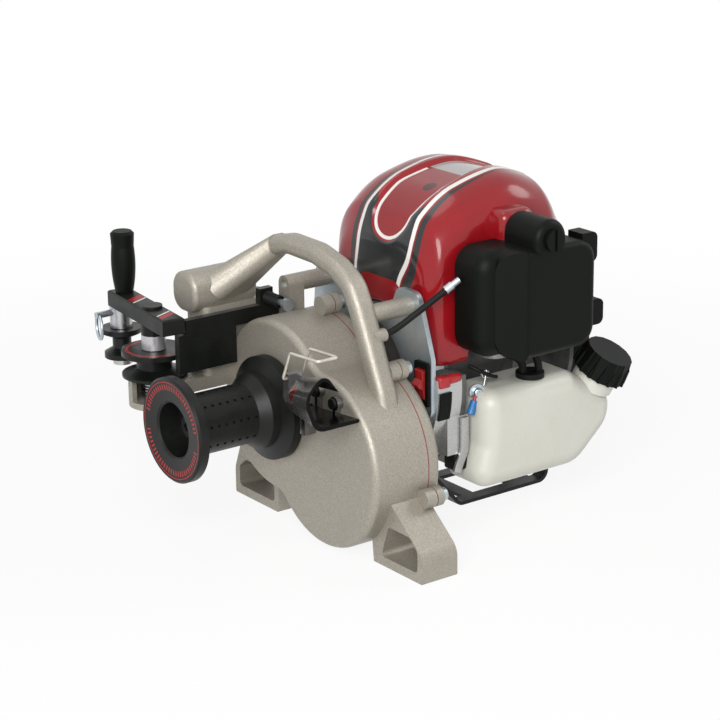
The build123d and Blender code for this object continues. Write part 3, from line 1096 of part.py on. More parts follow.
# Fan cover: round above, wider below, with lugs for the guard and a leg for the tank
def fan_plate(front, back, upper, lower, level, mode=Mode.ADD):
    """Plate round the crank axis that is wider below a level."""
    rod(CRANK_X, CRANK_Z, front, back, upper, mode)
    with BuildSketch(facing(back)) as wide:
        with Locations((CRANK_X, CRANK_Z)):
            Circle(lower)
        with Locations((CRANK_X, level - lower)):
            Rectangle(2 * lower, 2 * lower, mode=Mode.INTERSECT)
    extrude(wide.sketch, amount=back - front, dir=(0, -1, 0), mode=mode)


with BuildPart() as fan_cover:
    fan_plate(FAN_FRONT_Y, FAN_NECK_BACK_Y, FAN_NECK_R, FAN_R, FAN_LOW_Z)
    fan_plate(FAN_NECK_BACK_Y, FAN_BACK_Y, FAN_RING_R, FAN_R, FAN_LOW_Z)
    for side in (-GUARD_HALF, GUARD_HALF):
        block((CRANK_X + side - BAR_W / 2, CRANK_X + side + BAR_W / 2), (FAN_FRONT_Y + LUG_FRONT, FAN_BACK_Y),
              (LUG_Z, CRANK_Z - FAN_R + LUG_RISE))
    block(TANK_LEG_X, (FAN_NECK_BACK_Y, TANK_LEG_Y), TANK_LEG_Z)
    fan_plate(FAN_NECK_BACK_Y, FAN_BACK_Y, FAN_RING_R - FAN_WALL, FAN_R - FAN_WALL, FAN_LOW_Z - FAN_WALL,
              Mode.SUBTRACT)
    rod(CRANK_X, CRANK_Z, FAN_BACK_Y, TANK_LEG_Y, FAN_R + EPS, Mode.SUBTRACT)
    rod(CRANK_X, CRANK_Z, FAN_FRONT_Y, FAN_BACK_Y, CLUTCH_BORE_R, Mode.SUBTRACT)

# Flywheel with fan blades and the two pins of the clutch shoes
FLY_FRONT_Y = BELL_BACK_Y + GAP
with BuildPart() as flywheel:
    rod(CRANK_X, CRANK_Z, FLY_FRONT_Y, FLY_FRONT_Y + FLYWHEEL_T, FLYWHEEL_R)
    rod(CRANK_X, CRANK_Z, FLY_FRONT_Y, FAN_BACK_Y, 2 * CRANK_R)
    for blade in range(BLADES):
        with Locations(Location((CRANK_X, 0, CRANK_Z), (0, blade * 360 / BLADES, 0))):
            with Locations((BLADE_MIDDLE, (FLY_FRONT_Y + FLYWHEEL_T + FAN_BACK_Y - GAP) / 2, 0)):
                Box(BLADE_LENGTH, FAN_BACK_Y - GAP - FLY_FRONT_Y - FLYWHEEL_T, BLADE_T)
    for degrees in (0, 180):
        rod(*polar(CRANK_X, CRANK_Z, SHOE_PIN_CIRCLE, degrees), SHOE_FRONT_Y, FLY_FRONT_Y, SHOE_PIN_R)
    rod(CRANK_X, CRANK_Z, FLY_FRONT_Y, FAN_BACK_Y, CRANK_R + FIT, Mode.SUBTRACT)

# Two centrifugal clutch shoes
with BuildPart() as clutch_shoes:
    rod(CRANK_X, CRANK_Z, SHOE_FRONT_Y, BELL_BACK_Y, BELL_R - BELL_WALL - SHOE_GAP)
    rod(CRANK_X, CRANK_Z, SHOE_FRONT_Y, BELL_BACK_Y, 2 * CRANK_R, Mode.SUBTRACT)
    block((CRANK_X - SHOE_SLOT / 2, CRANK_X + SHOE_SLOT / 2), (SHOE_FRONT_Y, BELL_BACK_Y),
          (CRANK_Z - BELL_R, CRANK_Z + BELL_R), Mode.SUBTRACT)
    for degrees in (0, 180):
        rod(*polar(CRANK_X, CRANK_Z, SHOE_PIN_CIRCLE, degrees), SHOE_FRONT_Y, BELL_BACK_Y, SHOE_PIN_R + FIT,
            Mode.SUBTRACT)

# Crankshaft with two round webs and a crank pin
PIN_FRONT_Y = WEB_FRONT_Y + WEB_T
PIN_BACK_Y = PIN_FRONT_Y + CRANK_PIN_LENGTH
with BuildPart() as crankshaft:
    rod(CRANK_X, CRANK_Z, FLY_FRONT_Y, WEB_FRONT_Y, CRANK_R)
    rod(CRANK_X, CRANK_Z, WEB_FRONT_Y, PIN_FRONT_Y, WEB_R)
    rod(CRANK_X, CRANK_Z + THROW, PIN_FRONT_Y, PIN_BACK_Y, CRANK_PIN_R)
    rod(CRANK_X, CRANK_Z, PIN_BACK_Y, PIN_BACK_Y + WEB_T, WEB_R)
    rod(CRANK_X, CRANK_Z, PIN_BACK_Y + WEB_T, CRANK_REAR_Y, CRANK_R)

# Crankcase: round barrel with a flange to the fan cover and the cylinder seat on top
SEAT_Z = CRANK_Z + CRANKCASE_R + SEAT_RISE
CHAMBER_FRONT_Y = WEB_FRONT_Y - CHAMBER_ROOM
CHAMBER_BACK_Y = PIN_BACK_Y + WEB_T + CHAMBER_ROOM
with BuildPart() as crankcase:
    rod(CRANK_X, CRANK_Z, FAN_BACK_Y, CRANKCASE_BACK_Y, CRANKCASE_R)
    fan_plate(FAN_BACK_Y, FAN_BACK_Y + FAN_WALL, FAN_RING_R, FAN_R, FAN_LOW_Z)
    rod(CRANK_X, CRANK_Z, CRANKCASE_BACK_Y, RECOIL_FRONT_Y, CRANK_TAIL_R)
    rod(CRANK_X, CRANK_Z, RECOIL_FRONT_Y - FAN_WALL, RECOIL_FRONT_Y, RECOIL_R)
    block((CRANK_X - CYLINDER_R, CRANK_X + CYLINDER_R), (CYLINDER_Y - CYLINDER_R, CYLINDER_Y + CYLINDER_R),
          (CRANK_Z, SEAT_Z))
    rod(CRANK_X, CRANK_Z, CHAMBER_FRONT_Y, CHAMBER_BACK_Y, WEB_R + CHAMBER_ROOM, Mode.SUBTRACT)
    rod(CRANK_X, CRANK_Z, FAN_BACK_Y, RECOIL_FRONT_Y, CRANK_R + FIT, Mode.SUBTRACT)

# Finned cylinder
with BuildPart() as cylinder:
    post(CRANK_X, CYLINDER_Y, SEAT_Z, CYLINDER_Z1, CYLINDER_R)
    for fin in range(FINS):
        post(CRANK_X, CYLINDER_Y, FIN_Z0 + fin * FIN_PITCH, FIN_Z0 + fin * FIN_PITCH + FIN_T, FIN_R)

# Red shroud over the engine, lofted through rounded sections and hollowed
def shroud_solid(inset):
    """Closed solid of the shroud, shrunk by an inset and open under its lower edge."""
    with BuildPart() as solid:
        for index, (depth, left, right, top) in enumerate(SHROUD_SECTIONS):
            ends = {0: inset, len(SHROUD_SECTIONS) - 1: -inset}
            with BuildSketch(facing(depth + ends.get(index, 0))):
                with Locations(((left + right) / 2, (top + SHROUD_Z0 - SHROUD_DROP) / 2)):
                    RectangleRounded(right - left - 2 * inset, top - SHROUD_Z0 + SHROUD_DROP - 2 * inset,
                                     SHROUD_CORNER - inset)
        loft()
    return solid.part


with BuildPart() as shroud_panel:
    with BuildSketch(Plane.XY.offset(PANEL_Z0)):
        with BuildLine():
            Polyline(*[(PANEL_X + half, depth) for depth, half in PANEL_SIDE],
                     *[(PANEL_X - half, depth) for depth, half in reversed(PANEL_SIDE)], close=True)
        make_face()
    extrude(amount=SHROUD_SECTIONS[3][3] - PANEL_Z0 + PANEL_DEPTH)
    add(shroud_solid(PANEL_DEPTH), mode=Mode.SUBTRACT)

with BuildPart() as shroud:
    add(shroud_solid(0))
    add(shroud_solid(SHROUD_WALL), mode=Mode.SUBTRACT)
    block((TANK_X0 * 2, TANK_X1 * 2), (0, TANK_Y1 * 2), (0, SHROUD_Z0), Mode.SUBTRACT)
    block((CARB_X0, CLEANER_X0), (CAM_Y - 3 * CAM_T, COVER_Y1), (SHROUD_Z0, CARB_Z + 2 * CARB_R), Mode.SUBTRACT)
    rod(CRANK_X, CRANK_Z, FAN_FRONT_Y, FAN_NECK_BACK_Y, FAN_NECK_R + SHROUD_NECK_GAP, Mode.SUBTRACT)
    rod(CRANK_X, CRANK_Z, FAN_NECK_BACK_Y, FAN_BACK_Y + FAN_WALL, FAN_RING_R + SHROUD_NECK_GAP, Mode.SUBTRACT)
    rod(CRANK_X, CRANK_Z, CRANKCASE_BACK_Y, RECOIL_FRONT_Y, CRANK_TAIL_R + SHROUD_NECK_GAP, Mode.SUBTRACT)
    add(shroud_panel.part, mode=Mode.SUBTRACT)
    spar(KNOB_Y, KNOB_Z, SHROUD_BOSS_X0, BASE_X1, HUMP_R)
    block((SHROUD_BOSS_X0, BASE_X1), (KNOB_Y - HUMP_R, KNOB_Y + HUMP_R), (KNOB_Z, KNOB_Z + HUMP_R))
    spar(KNOB_Y, KNOB_Z, SHROUD_BOSS_X0, BASE_X1, KNOB_STUD_R + FIT, Mode.SUBTRACT)

# Recoil starter housing with vents, and its grip
with BuildPart() as recoil_housing:
    rod(CRANK_X, CRANK_Z, RECOIL_FRONT_Y, RECOIL_BACK_Y, RECOIL_R)
    fillet(recoil_housing.faces().sort_by(Axis.Y)[-1].edges(), 2 * RECOIL_WALL)
    for side in (-GUARD_HALF, GUARD_HALF):
        block((CRANK_X + side - BAR_W / 2, CRANK_X + side + BAR_W / 2), (RECOIL_FRONT_Y, RECOIL_BACK_Y - LUG_BACK),
              (LUG_Z, CRANK_Z - RECOIL_R / 2))
    rod(CRANK_X, CRANK_Z, RECOIL_FRONT_Y, RECOIL_BACK_Y - RECOIL_WALL, RECOIL_R - RECOIL_WALL, Mode.SUBTRACT)
    for vent in range(VENTS):
        x, z = polar(CRANK_X, CRANK_Z, VENT_CIRCLE, vent * 360 / VENTS)
        rod(x, z, RECOIL_BACK_Y - RECOIL_WALL, RECOIL_BACK_Y, VENT_R, Mode.SUBTRACT)

with BuildPart() as starter_grip:
    with BuildSketch(facing(RECOIL_BACK_Y + STARTER_T)):
        with Locations((CRANK_X, CRANK_Z + STARTER_RISE)):
            RectangleRounded(STARTER_W, STARTER_T, STARTER_T / 2 - EPS)
    extrude(amount=STARTER_T)

# Air cleaner: base on the carburettor side, filter, cover with its knob hump
def cleaner_outline(front, inset):
    with BuildSketch() as outline:
        with Locations(((front + COVER_Y1) / 2, (COVER_Z0 + COVER_Z1) / 2)):
            RectangleRounded(COVER_Y1 - front - 2 * inset, COVER_Z1 - COVER_Z0 - 2 * inset, COVER_CORNER - inset)
    return outline.sketch


with BuildPart() as cleaner_base:
    with BuildSketch(Plane.YZ.offset(CLEANER_X0)):
        add(cleaner_outline(COVER_Y0, EPS))
    extrude(amount=BASE_X1 - CLEANER_X0)
    spar(KNOB_Y, KNOB_Z, CLEANER_X0, BASE_X1, HUMP_R + EPS, Mode.SUBTRACT)
    spar(CARB_Y, CARB_Z + HUMP_R, CLEANER_X0, BASE_X1, CARB_R / 2, Mode.SUBTRACT)

with BuildPart() as cleaner_cover:
    with BuildSketch(Plane.YZ.offset(BASE_X1 + EPS)):
        add(cleaner_outline(COVER_Y0, 0))
    extrude(amount=SHOULDER_X1 - BASE_X1 - EPS)
    fillet(cleaner_cover.faces().sort_by(Axis.X)[-1].edges(), COVER_EDGE)
    for lug in (UPPER_LUG, LOWER_LUG):
        block(*lug)
        fillet(cleaner_cover.edges().filter_by(Axis.X).filter_by_position(Axis.Y, COVER_Y1 + EPS, lug[1][1] + EPS),
               LUG_R)
    with BuildSketch(Plane.YZ.offset(BASE_X1 + EPS)):
        add(cleaner_outline(FACE_Y0, 0))
        with Locations((KNOB_Y, KNOB_Z)):
            Circle(HUMP_R)
        with Locations((KNOB_Y, (KNOB_Z + COVER_Z1 - HUMP_R) / 2)):
            Rectangle(2 * HUMP_R, KNOB_Z - COVER_Z1 + HUMP_R)
    extrude(amount=COVER_X1 - BASE_X1 - EPS)
    with BuildSketch(Plane.XY.offset(COVER_Z0)):
        with BuildLine():
            Polyline((SHOULDER_X1, FACE_Y0), (COVER_X1, FACE_Y0 + FACE_RAMP), (COVER_X1, FACE_Y0), close=True)
        make_face()
    extrude(amount=COVER_Z1 - COVER_Z0, mode=Mode.SUBTRACT)
    fillet(cleaner_cover.faces().sort_by(Axis.X)[-1].edges(), FACE_EDGE)
    with BuildSketch(Plane.YZ.offset(BASE_X1 + EPS)):
        with Locations(((COVER_Y0 + COVER_Y1) / 2, (COVER_Z0 + COVER_Z1) / 2 - FILTER_DROP)):
            RectangleRounded(*COVER_ROOM, COVER_CORNER / 2)
    extrude(amount=COVER_ROOM_DEPTH, mode=Mode.SUBTRACT)
    spar(KNOB_Y, KNOB_Z, BASE_X1, COVER_X1, KNOB_STUD_R + FIT, Mode.SUBTRACT)

with BuildPart() as filter_element:
    with BuildSketch(Plane.YZ.offset(BASE_X1 + EPS)):
        with Locations(((COVER_Y0 + COVER_Y1) / 2, (COVER_Z0 + COVER_Z1) / 2 - FILTER_DROP)):
            RectangleRounded(*FILTER_SIZE, COVER_CORNER / 3)
    extrude(amount=FILTER_DEPTH)

with BuildPart() as cover_knob:
    spar(KNOB_Y, KNOB_Z, CLEANER_X0, COVER_X1 + EPS, KNOB_STUD_R)
    spar(KNOB_Y, KNOB_Z, COVER_X1 + EPS, COVER_X1 + EPS + KNOB_T, KNOB_R)
    block((COVER_X1 + EPS + KNOB_T - KNOB_SLOT[1], COVER_X1 + EPS + KNOB_T),
          (KNOB_Y - KNOB_SLOT[0] / 2, KNOB_Y + KNOB_SLOT[0] / 2), (KNOB_Z - KNOB_R, KNOB_Z + KNOB_R), Mode.SUBTRACT)

# Carburettor between the cylinder side and the air cleaner
with BuildPart() as carburettor:
    spar(CARB_Y, CARB_Z, CARB_X0, CLEANER_X0 - EPS, CARB_R)
    post(CARB_X, CARB_Y, CARB_Z - CARB_R - BOWL_DROP, CARB_Z - CARB_R / 2, BOWL_R)
    block((CLEANER_X0 - CARB_FLANGE_T - EPS, CLEANER_X0 - EPS), (CARB_Y + CARB_FLANGE_Y[0], CARB_Y + CARB_FLANGE_Y[1]),
          (CARB_Z + CARB_FLANGE_Z[0], CARB_Z + CARB_FLANGE_Z[1]))
    rod(CARB_X, CARB_Z, CAM_BOSS_Y, CARB_Y, CAM_BOSS_R)
    rod(CARB_X, CARB_Z, CAM_Y, CARB_Y - CARB_R / 2, CAM_SHAFT_R + FIT, Mode.SUBTRACT)

with BuildPart() as throttle_cam:
    rod(CARB_X, CARB_Z, CAM_Y - CAM_T, CARB_Y - CARB_R / 2 - GAP, CAM_SHAFT_R)
    rod(CARB_X, CARB_Z, CAM_Y - CAM_T, CAM_Y, CAM_R)

# Return spring round the throttle shaft, between the cam and its boss
cam_spring = coil(CAM_SPRING, Plane(origin=(CARB_X, CAM_Y + CAM_SPRING[1] + GAP, CARB_Z), x_dir=(0, 0, 1),
                                    z_dir=(0, 1, 0)))

# Muffler on the far side of the shroud
with BuildPart() as muffler:
    block((MUFFLER_X0, MUFFLER_X1), (MUFFLER_Y0, MUFFLER_Y1), (MUFFLER_Z0, MUFFLER_Z1))
    fillet(muffler.edges(), MUFFLER_EDGE)

# Fuel tank: saddle under the crankcase and a tall right-hand side
def tank_profile(inset, low, high):
    with BuildSketch() as profile:
        with BuildLine():
            FilletPolyline((TANK_Y0 - TANK_TOE[0] + inset, low + inset), (TANK_Y1 - TANK_HEEL[0], low + inset),
                           (TANK_Y1 - inset, low + TANK_HEEL[1]), (TANK_Y1 - inset, high - TANK_SHOULDER[1]),
                           (TANK_Y1 - TANK_SHOULDER[0], high - inset), (TANK_Y0 + inset, high - inset),
                           (TANK_Y0 + inset, low + TANK_TOE[1]),
                           radius=[TANK_EDGE, TANK_HEEL_R, TANK_HEEL_R, *[TANK_EDGE] * 4], close=True)
        make_face()
    return profile.sketch


with BuildPart() as tank_room:
    with BuildSketch(Plane.YZ.offset(TANK_SIDE_X0 + TANK_WALL)):
        add(tank_profile(TANK_WALL, TANK_Z0, TANK_Z1))
    extrude(amount=TANK_X1 - TANK_SIDE_X0 - 2 * TANK_WALL)
    fillet(tank_room.faces().sort_by(Axis.X)[-1].edges(), TANK_ROOM_EDGE)

NECK_PLANE = Plane(origin=NECK_POINT, z_dir=NECK_LEAN)
with BuildPart() as fuel_tank:
    with BuildSketch(Plane.YZ.offset(TANK_SIDE_X0)):
        add(tank_profile(0, TANK_Z0, TANK_Z1))
    extrude(amount=TANK_X1 - TANK_SIDE_X0)
    block((TANK_X0, SADDLE_X1), SADDLE_Y, (TANK_Z0, TANK_SADDLE_Z))
    fillet(fuel_tank.faces().sort_by(Axis.X)[-1].edges(), TANK_EDGE)
    with Locations(NECK_PLANE):
        Cylinder(NECK_R, NECK_RISE, align=(Align.CENTER, Align.CENTER, Align.MIN))
    add(tank_room.part, mode=Mode.SUBTRACT)
    block((TANK_X0 + TANK_WALL, SADDLE_X1 - TANK_WALL), (SADDLE_Y[0] + TANK_WALL, SADDLE_Y[1] - TANK_WALL),
          (TANK_Z0 + TANK_WALL, TANK_SADDLE_Z - TANK_WALL), Mode.SUBTRACT)
    with Locations(NECK_PLANE):
        Cylinder(NECK_BORE_R, 4 * NECK_RISE, mode=Mode.SUBTRACT)

# Fuel cap with grip ribs, screwed on the neck
CAP_SEAT = NECK_RISE + EPS
with BuildPart() as fuel_cap:
    with BuildSketch(NECK_PLANE.offset(CAP_SEAT)):
        Circle(CAP_R)
        with PolarLocations(CAP_R, CAP_RIBS):
            Circle(RIB_R)
    extrude(amount=CAP_H, taper=CAP_TAPER)
    with BuildSketch(NECK_PLANE.offset(CAP_SEAT)):
        Circle(NECK_BORE_R - GAP)
    extrude(amount=-CAP_PLUG)

# Rubber grommet in the tank top and the two hoses that leave it
with BuildPart() as tank_grommet:
    post(GROMMET_X, GROMMET_Y, TANK_Z1, TANK_Z1 + GROMMET_H, GROMMET_R)

with BuildPart() as fuel_hoses:
    for route in HOSE_ROUTES:
        add(tube(route, HOSE_R, bends(route)))

# Tank guard: two bent flat bars and a cross strap
GUARD_SIDE = [(GUARD_FOOT_Y[0], LUG_Z - BAR_T / 2), (GUARD_FOOT_Y[1], LUG_Z - BAR_T / 2),
              (GUARD_Y0, BAR_T / 2), (GUARD_Y1, BAR_T / 2), (GUARD_FOOT_Y[2], LUG_Z - BAR_T / 2),
              (GUARD_FOOT_Y[3], LUG_Z - BAR_T / 2)]
with BuildPart() as tank_guard:
    for side in (-GUARD_HALF, GUARD_HALF):
        with BuildSketch(Plane.YZ.offset(CRANK_X + side - BAR_W / 2)):
            with BuildLine() as bar_line:
                FilletPolyline(*GUARD_SIDE, radius=GUARD_BEND)
            trace(bar_line.line, line_width=BAR_T)
        extrude(amount=BAR_W)
    block((CRANK_X - GUARD_HALF, CRANK_X + GUARD_HALF), (GUARD_CROSS_Y - BAR_W, GUARD_CROSS_Y + BAR_W), (0, BAR_T))
    block((CRANK_X - GUARD_HALF, CRANK_X + GUARD_HALF), (GUARD_Y0 + BAR_W, GUARD_Y0 + 2 * BAR_W), (0, BAR_T))

# Throttle cable from the casing to the air cleaner base, and its metal ferrule
throttle_cable = tube(CABLE_ROUTE, CABLE_R, bends(CABLE_ROUTE))

with BuildPart() as cable_ferrule:
    run = Vector(CABLE_ROUTE[-1]) - Vector(CABLE_ROUTE[-2])
    with BuildSketch(Plane(origin=CABLE_ROUTE[-1], z_dir=run)):
        Circle(FERRULE_R)
    extrude(amount=FERRULE_LENGTH / 2)
    with BuildSketch(Plane(origin=CABLE_ROUTE[-1], z_dir=run).offset(FERRULE_LENGTH / 2)):
        Circle(FERRULE_TIP_R)
    extrude(amount=FERRULE_LENGTH / 2)

# Stop lead of the engine
with BuildPart() as stop_lead:
    add(tube(LEAD_ROUTE, LEAD_R, bends(LEAD_ROUTE)))

# One file for each piece
PIECES = {
    "front_casing": front_casing.part, "rear_cover": rear_cover.part, "casing_seal": casing_seal.part,
    "casing_bolts": casing_bolts.part, "shaft_bearings": shaft_bearings.part,
    "output_shaft": output_shaft.part, "output_wheel": output_wheel.part, "capstan_drum": capstan_drum.part,
    "drum_screw": drum_screw.part, "layshaft": layshaft.part, "layshaft_wheel": layshaft_wheel.part,
    "input_shaft": input_shaft.part, "clutch_bell": clutch_bell.part, "side_plate": side_plate.part,
    "side_screws": side_screws.part, "spring_bolt": spring_bolt.part, "bolt_spring": bolt_spring,
    "pivot_bolt": pivot_bolt.part, "pivot_bush": pivot_bush.part, "near_spool": near_spool.part,
    "lever_spring": lever_spring, "lever_bar": lever_bar.part, "lever_grip": lever_grip.part,
    "far_axle": far_axle.part, "far_bush": far_bush.part, "far_spool": far_spool.part, "lock_pin": lock_pin.part,
    "pull_ring": pull_ring.part, "rope_guide": rope_guide.part, "guide_screws": guide_screws.part,
    "wire_gate": wire_gate, "engine_plate": engine_plate.part, "plate_bolts": plate_bolts.part,
    "switch_frame": switch_frame.part, "switch_rocker": switch_rocker,
    "fan_cover": fan_cover.part, "flywheel": flywheel.part, "clutch_shoes": clutch_shoes.part,
    "crankshaft": crankshaft.part, "crankcase": crankcase.part, "cylinder": cylinder.part, "shroud": shroud.part,
    "recoil_housing": recoil_housing.part, "starter_grip": starter_grip.part, "cleaner_base": cleaner_base.part,
    "cleaner_cover": cleaner_cover.part, "filter_element": filter_element.part, "cover_knob": cover_knob.part,
    "carburettor": carburettor.part, "throttle_cam": throttle_cam.part, "cam_spring": cam_spring,
    "muffler": muffler.part, "fuel_tank": fuel_tank.part, "tank_grommet": tank_grommet.part,
    "fuel_hoses": fuel_hoses.part, "fuel_cap": fuel_cap.part, "tank_guard": tank_guard.part,
    "throttle_cable": throttle_cable, "cable_ferrule": cable_ferrule.part, "stop_lead": stop_lead.part,
}
for name, piece in PIECES.items():
    piece.label = name
    export_step(piece, f"parts/{name}.step")
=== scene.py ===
import json
import math

import bmesh
import bpy
import numpy as np
from bpy.props import FloatProperty, FloatVectorProperty, IntProperty, PointerProperty
from bpy.types import Operator, Panel, PropertyGroup
from mathutils import Matrix, Vector


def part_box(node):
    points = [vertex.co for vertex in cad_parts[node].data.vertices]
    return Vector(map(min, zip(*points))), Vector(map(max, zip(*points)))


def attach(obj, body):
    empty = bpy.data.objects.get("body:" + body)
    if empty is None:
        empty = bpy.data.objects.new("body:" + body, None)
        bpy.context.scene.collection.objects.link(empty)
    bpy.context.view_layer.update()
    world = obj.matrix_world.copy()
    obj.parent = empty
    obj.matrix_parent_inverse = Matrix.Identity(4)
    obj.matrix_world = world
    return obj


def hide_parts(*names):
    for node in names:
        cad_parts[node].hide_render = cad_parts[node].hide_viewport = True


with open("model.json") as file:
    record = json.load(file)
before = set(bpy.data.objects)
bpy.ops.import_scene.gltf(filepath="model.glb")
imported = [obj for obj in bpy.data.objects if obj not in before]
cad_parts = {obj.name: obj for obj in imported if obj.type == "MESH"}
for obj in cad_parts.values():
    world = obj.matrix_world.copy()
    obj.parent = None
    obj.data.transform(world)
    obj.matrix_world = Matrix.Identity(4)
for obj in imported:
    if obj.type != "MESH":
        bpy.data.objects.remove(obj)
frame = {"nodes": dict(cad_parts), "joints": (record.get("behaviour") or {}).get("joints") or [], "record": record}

bl_info = {
    "name": "Forestry winch looks",
    "version": (1, 0, 0),
    "blender": (4, 5, 0),
    "location": "3D View > Sidebar > Winch",
    "description": "Finishes, cords, painted shroud and small engine pieces for a portable forestry winch",
    "category": "Object",
}

MM = 0.001


def mm(*values):
    """Array of sizes or places given in millimetres."""
    return np.array(values, float) * MM


NODES = frame["nodes"]
SLOT_OF = {row["node"]: row["material_slot"] for row in frame["record"]["subparts"]}
JOINTS = {joint["name"]: joint for joint in frame["joints"]}
DRUM = np.array(JOINTS["capstan_spin"]["pos_m"])
CRANK = np.array(JOINTS["crank_spin"]["pos_m"])
PIVOT = np.array(JOINTS["near_spool_spin"]["pos_m"])

# Filled when the finishes are made: shader node groups and materials by name
GROUPS = {}
FINISHES = {}

# Pieces whose finish differs from their slot's
OWN_FINISH = {"pivot_bush": "black_topped_steel", "pivot_bolt": "black_steel", "lever_bar": "lever_black",
              "side_plate": "rubbed_black", "wire_gate": "wire_steel",
              # crankcase and cylinder: a casting darkened as painted shade
              "crankcase": "shaded_cast", "cylinder": "shaded_cast", "fan_cover": "bright_cast"}

# Routes of the cords: control points of their splines
CABLE_ROUTE = mm((44, 9.2, 165), (44, 15, 165), (50.5, 36, 179), (56.6, 55.6, 192.6))
LEAD_ROUTE = mm((51, 82, 128), (56, 84, 127), (60, 90, 123), (61, 98, 119), (55.5, 105.5, 116))
HOSE_ROUTES = {"front": mm((60, 128, 116.2), (60, 128, 124), (60, 118, 131), (50.5, 118, 131)),
               "rear": mm((64, 140, 116.2), (64, 140, 126), (57.9, 134.7, 133), (47.65, 126.1, 133))}

# Fixed colours of small marks
BUSH_TOP_BLACK = (0.006, 0.007, 0.006)
# pale grey of the painted sheen on the side plate's upward faces
SHEEN_GREY = (0.075, 0.075, 0.073)
SPOT_PALE = (0.5, 0.49, 0.47)
# dark red of the painted shade inside the shroud's round hole
HOLE_SHADE_RED = (0.05, 0.002, 0.003)

# Drum marks: the front face along Y, and the radii of the short marks and of the thin ring round them
DRUM_FACE = mm(-80.6, -81.0)
DRUM_TICKS = mm(30.5, 34.5)
DRUM_RING = mm(36.0, 36.7)

# Near spool and its bush: the spool's top face, the radii of its arc, where the bush's upper part turns black
SPOOL_TOP = mm(9.5, 9.9)
SPOOL_ARC = mm(19.5, 22.0)
BUSH_BLACK_FOOT = mm(143.6, 143.9)

# Lever: its direction from the pivot, its top over the near spool's joint, where the paint ends across
# it, and the stripes along it in millimetres, which lean by the slant
LEVER_ANGLE = math.radians(173.4)
LEVER_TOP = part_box("lever_bar")[1][2] - PIVOT[2]
LEVER_EDGE = mm(7.0, 7.3)
STRIPE_SLANT = 0.6
LEVER_STRIPES = [(-28, -22, "mark_red"), (-20.5, -18.5, "stripe_white"),
                 (22, 24, "stripe_white"), (25.5, 33, "mark_red")]

# Rope guide: its throat, the run to its mouth, the slope of that line along Y and Z, and the painted
# spots on its outside, each with its middle and size in millimetres
GUIDE_THROAT = mm(10, -45, 123)
GUIDE_RUN = 60 * MM
GUIDE_SLOPE = (-0.18, 0.17)
GUIDE_SPOTS = [((19.0, -61.5, 117.5), 5.2), ((31.0, -64.5, 132.0), 6.2)]
SPOT_BORDER = 0.9          # width of a spot's pale edge, in millimetres

COIL_R = 2.9               # of the small spring beside the carburettor, in millimetres
COVER_PLATE_R = 78.9 * MM  # of the bare plate on the fan cover

# Roughness that full dark patches of soiling and of painted shade have, and that full scuffs add
GRIME_AND_SHADE_ROUGH = 0.9
SCUFF_ROUGH = 0.2

# Shroud: sections along Y, each with its depth, left, right and top
SHROUD_SECTIONS = mm((51, -70, 36, 220), (62, -80, 46, 240), (92, -82, 48, 258), (130, -80, 49, 265),
                     (165, -72, 46, 256), (190, -50, 32, 233))
SHROUD_FOOT = 131 * MM
SHROUD_CORNER = 34 * MM
SHROUD_MIDDLE = (CRANK[0], 120 * MM, 170 * MM)
BODY_ROWS, FACE_ROWS = 84, 40                     # of its grid, along the body and over each end
SIDE_POINTS, ARC_POINTS, TOP_POINTS = 22, 17, 90  # of a row, on each side, each corner and the top
FRONT_RIM = 2.5 * MM           # depth of the round edge at the front and at the back
RIM_SHARE = 0.22               # part of the front face, from its outside in, that bends to that edge
BACK_POWER = 8                 # of the curve by which the rear face bends to that edge
NECK_R = 53.5 * MM             # opening of the front face round the engine's neck
WINDOW = mm(84, 89, 163, 168)  # along Y, where the right foot rises over the carburettor and comes down
WINDOW_LIFT = 45 * MM

# Stripes, sunk panel and ridge of the shroud, with stations along the middle of its front and top
FACE_TURN = mm(54, 91)         # where the front face turns into the top
STRIPES_MIDDLE = mm(-11.5, -10.3)  # over the top, and its move on the front face
STRIPES_HALF = mm(32.7, -3.9, -9)  # over the top, and its change on the front face and at the rear
STRIPES_CLOSE = mm(165, 240)   # where the stripes draw together at the rear
PANEL_MIDDLE = -12.5 * MM
PANEL_HALVES = mm((108, 22), (116, 23.5), (138, 25.5), (195, 19), (236, 10))  # station and half width
PANEL_EDGE = mm(-1.2, 2.4)     # over which the panel's edge goes down
PANEL_END = mm(226, 240)       # where the panel runs out at the rear
RIDGE_START = mm(92, 110)
RIDGE_EDGE = 3 * MM
RIDGE_HEIGHT = 1.0 * MM

# Paint of the shroud, with the same stations
PAINT_START, FIELD_END, PATCH_START, OUTER_END, PAINT_END = mm(58, 92, 168, 220, 228)
TAPER_RUN = mm(88, 122)        # where the dark field narrows
TAPER_WIDTH = 26 * MM
OUTER_RUN = mm(96, 190)        # where the bands outside the stripes narrow
OUTER_WIDTHS = mm(7, 2)
OUTER_START = mm(1.2, 1.6)     # outwards from the stripes
LIP_RUN = mm(80, 165)          # of the pale line along the panel's edge
LIP_BAND = mm(1.5, 4.2)
PATCH_INSET = 2 * MM
PANEL_HOLE = mm(-3.7, 89, 250)
HOLE_EDGE = mm(5.2, 5.6)

# Stage: half the floor's width, its drop under the feet, the distances between which it goes over into
# white with the share of white at each, and the lamps' widths and places
FLOOR_SPAN = 6.0
FLOOR_DROP = 0.2 * MM
FLOOR_GLOW = (0.3, 1.0, 0.88, 1.0)
WHITE = (1, 1, 1, 1)
SKY_TINT = (1.0, 0.99, 0.97, 1)
LAMPS = {"key": (1.2, (1.15, -1.1, 0.95)), "fill": (0.6, (-0.2, -0.1, 1.35)),
         "rim": (0.7, (0.45, 1.3, 1.1))}
LAMP_TARGET = Vector((0.0, 0.05, 0.12))


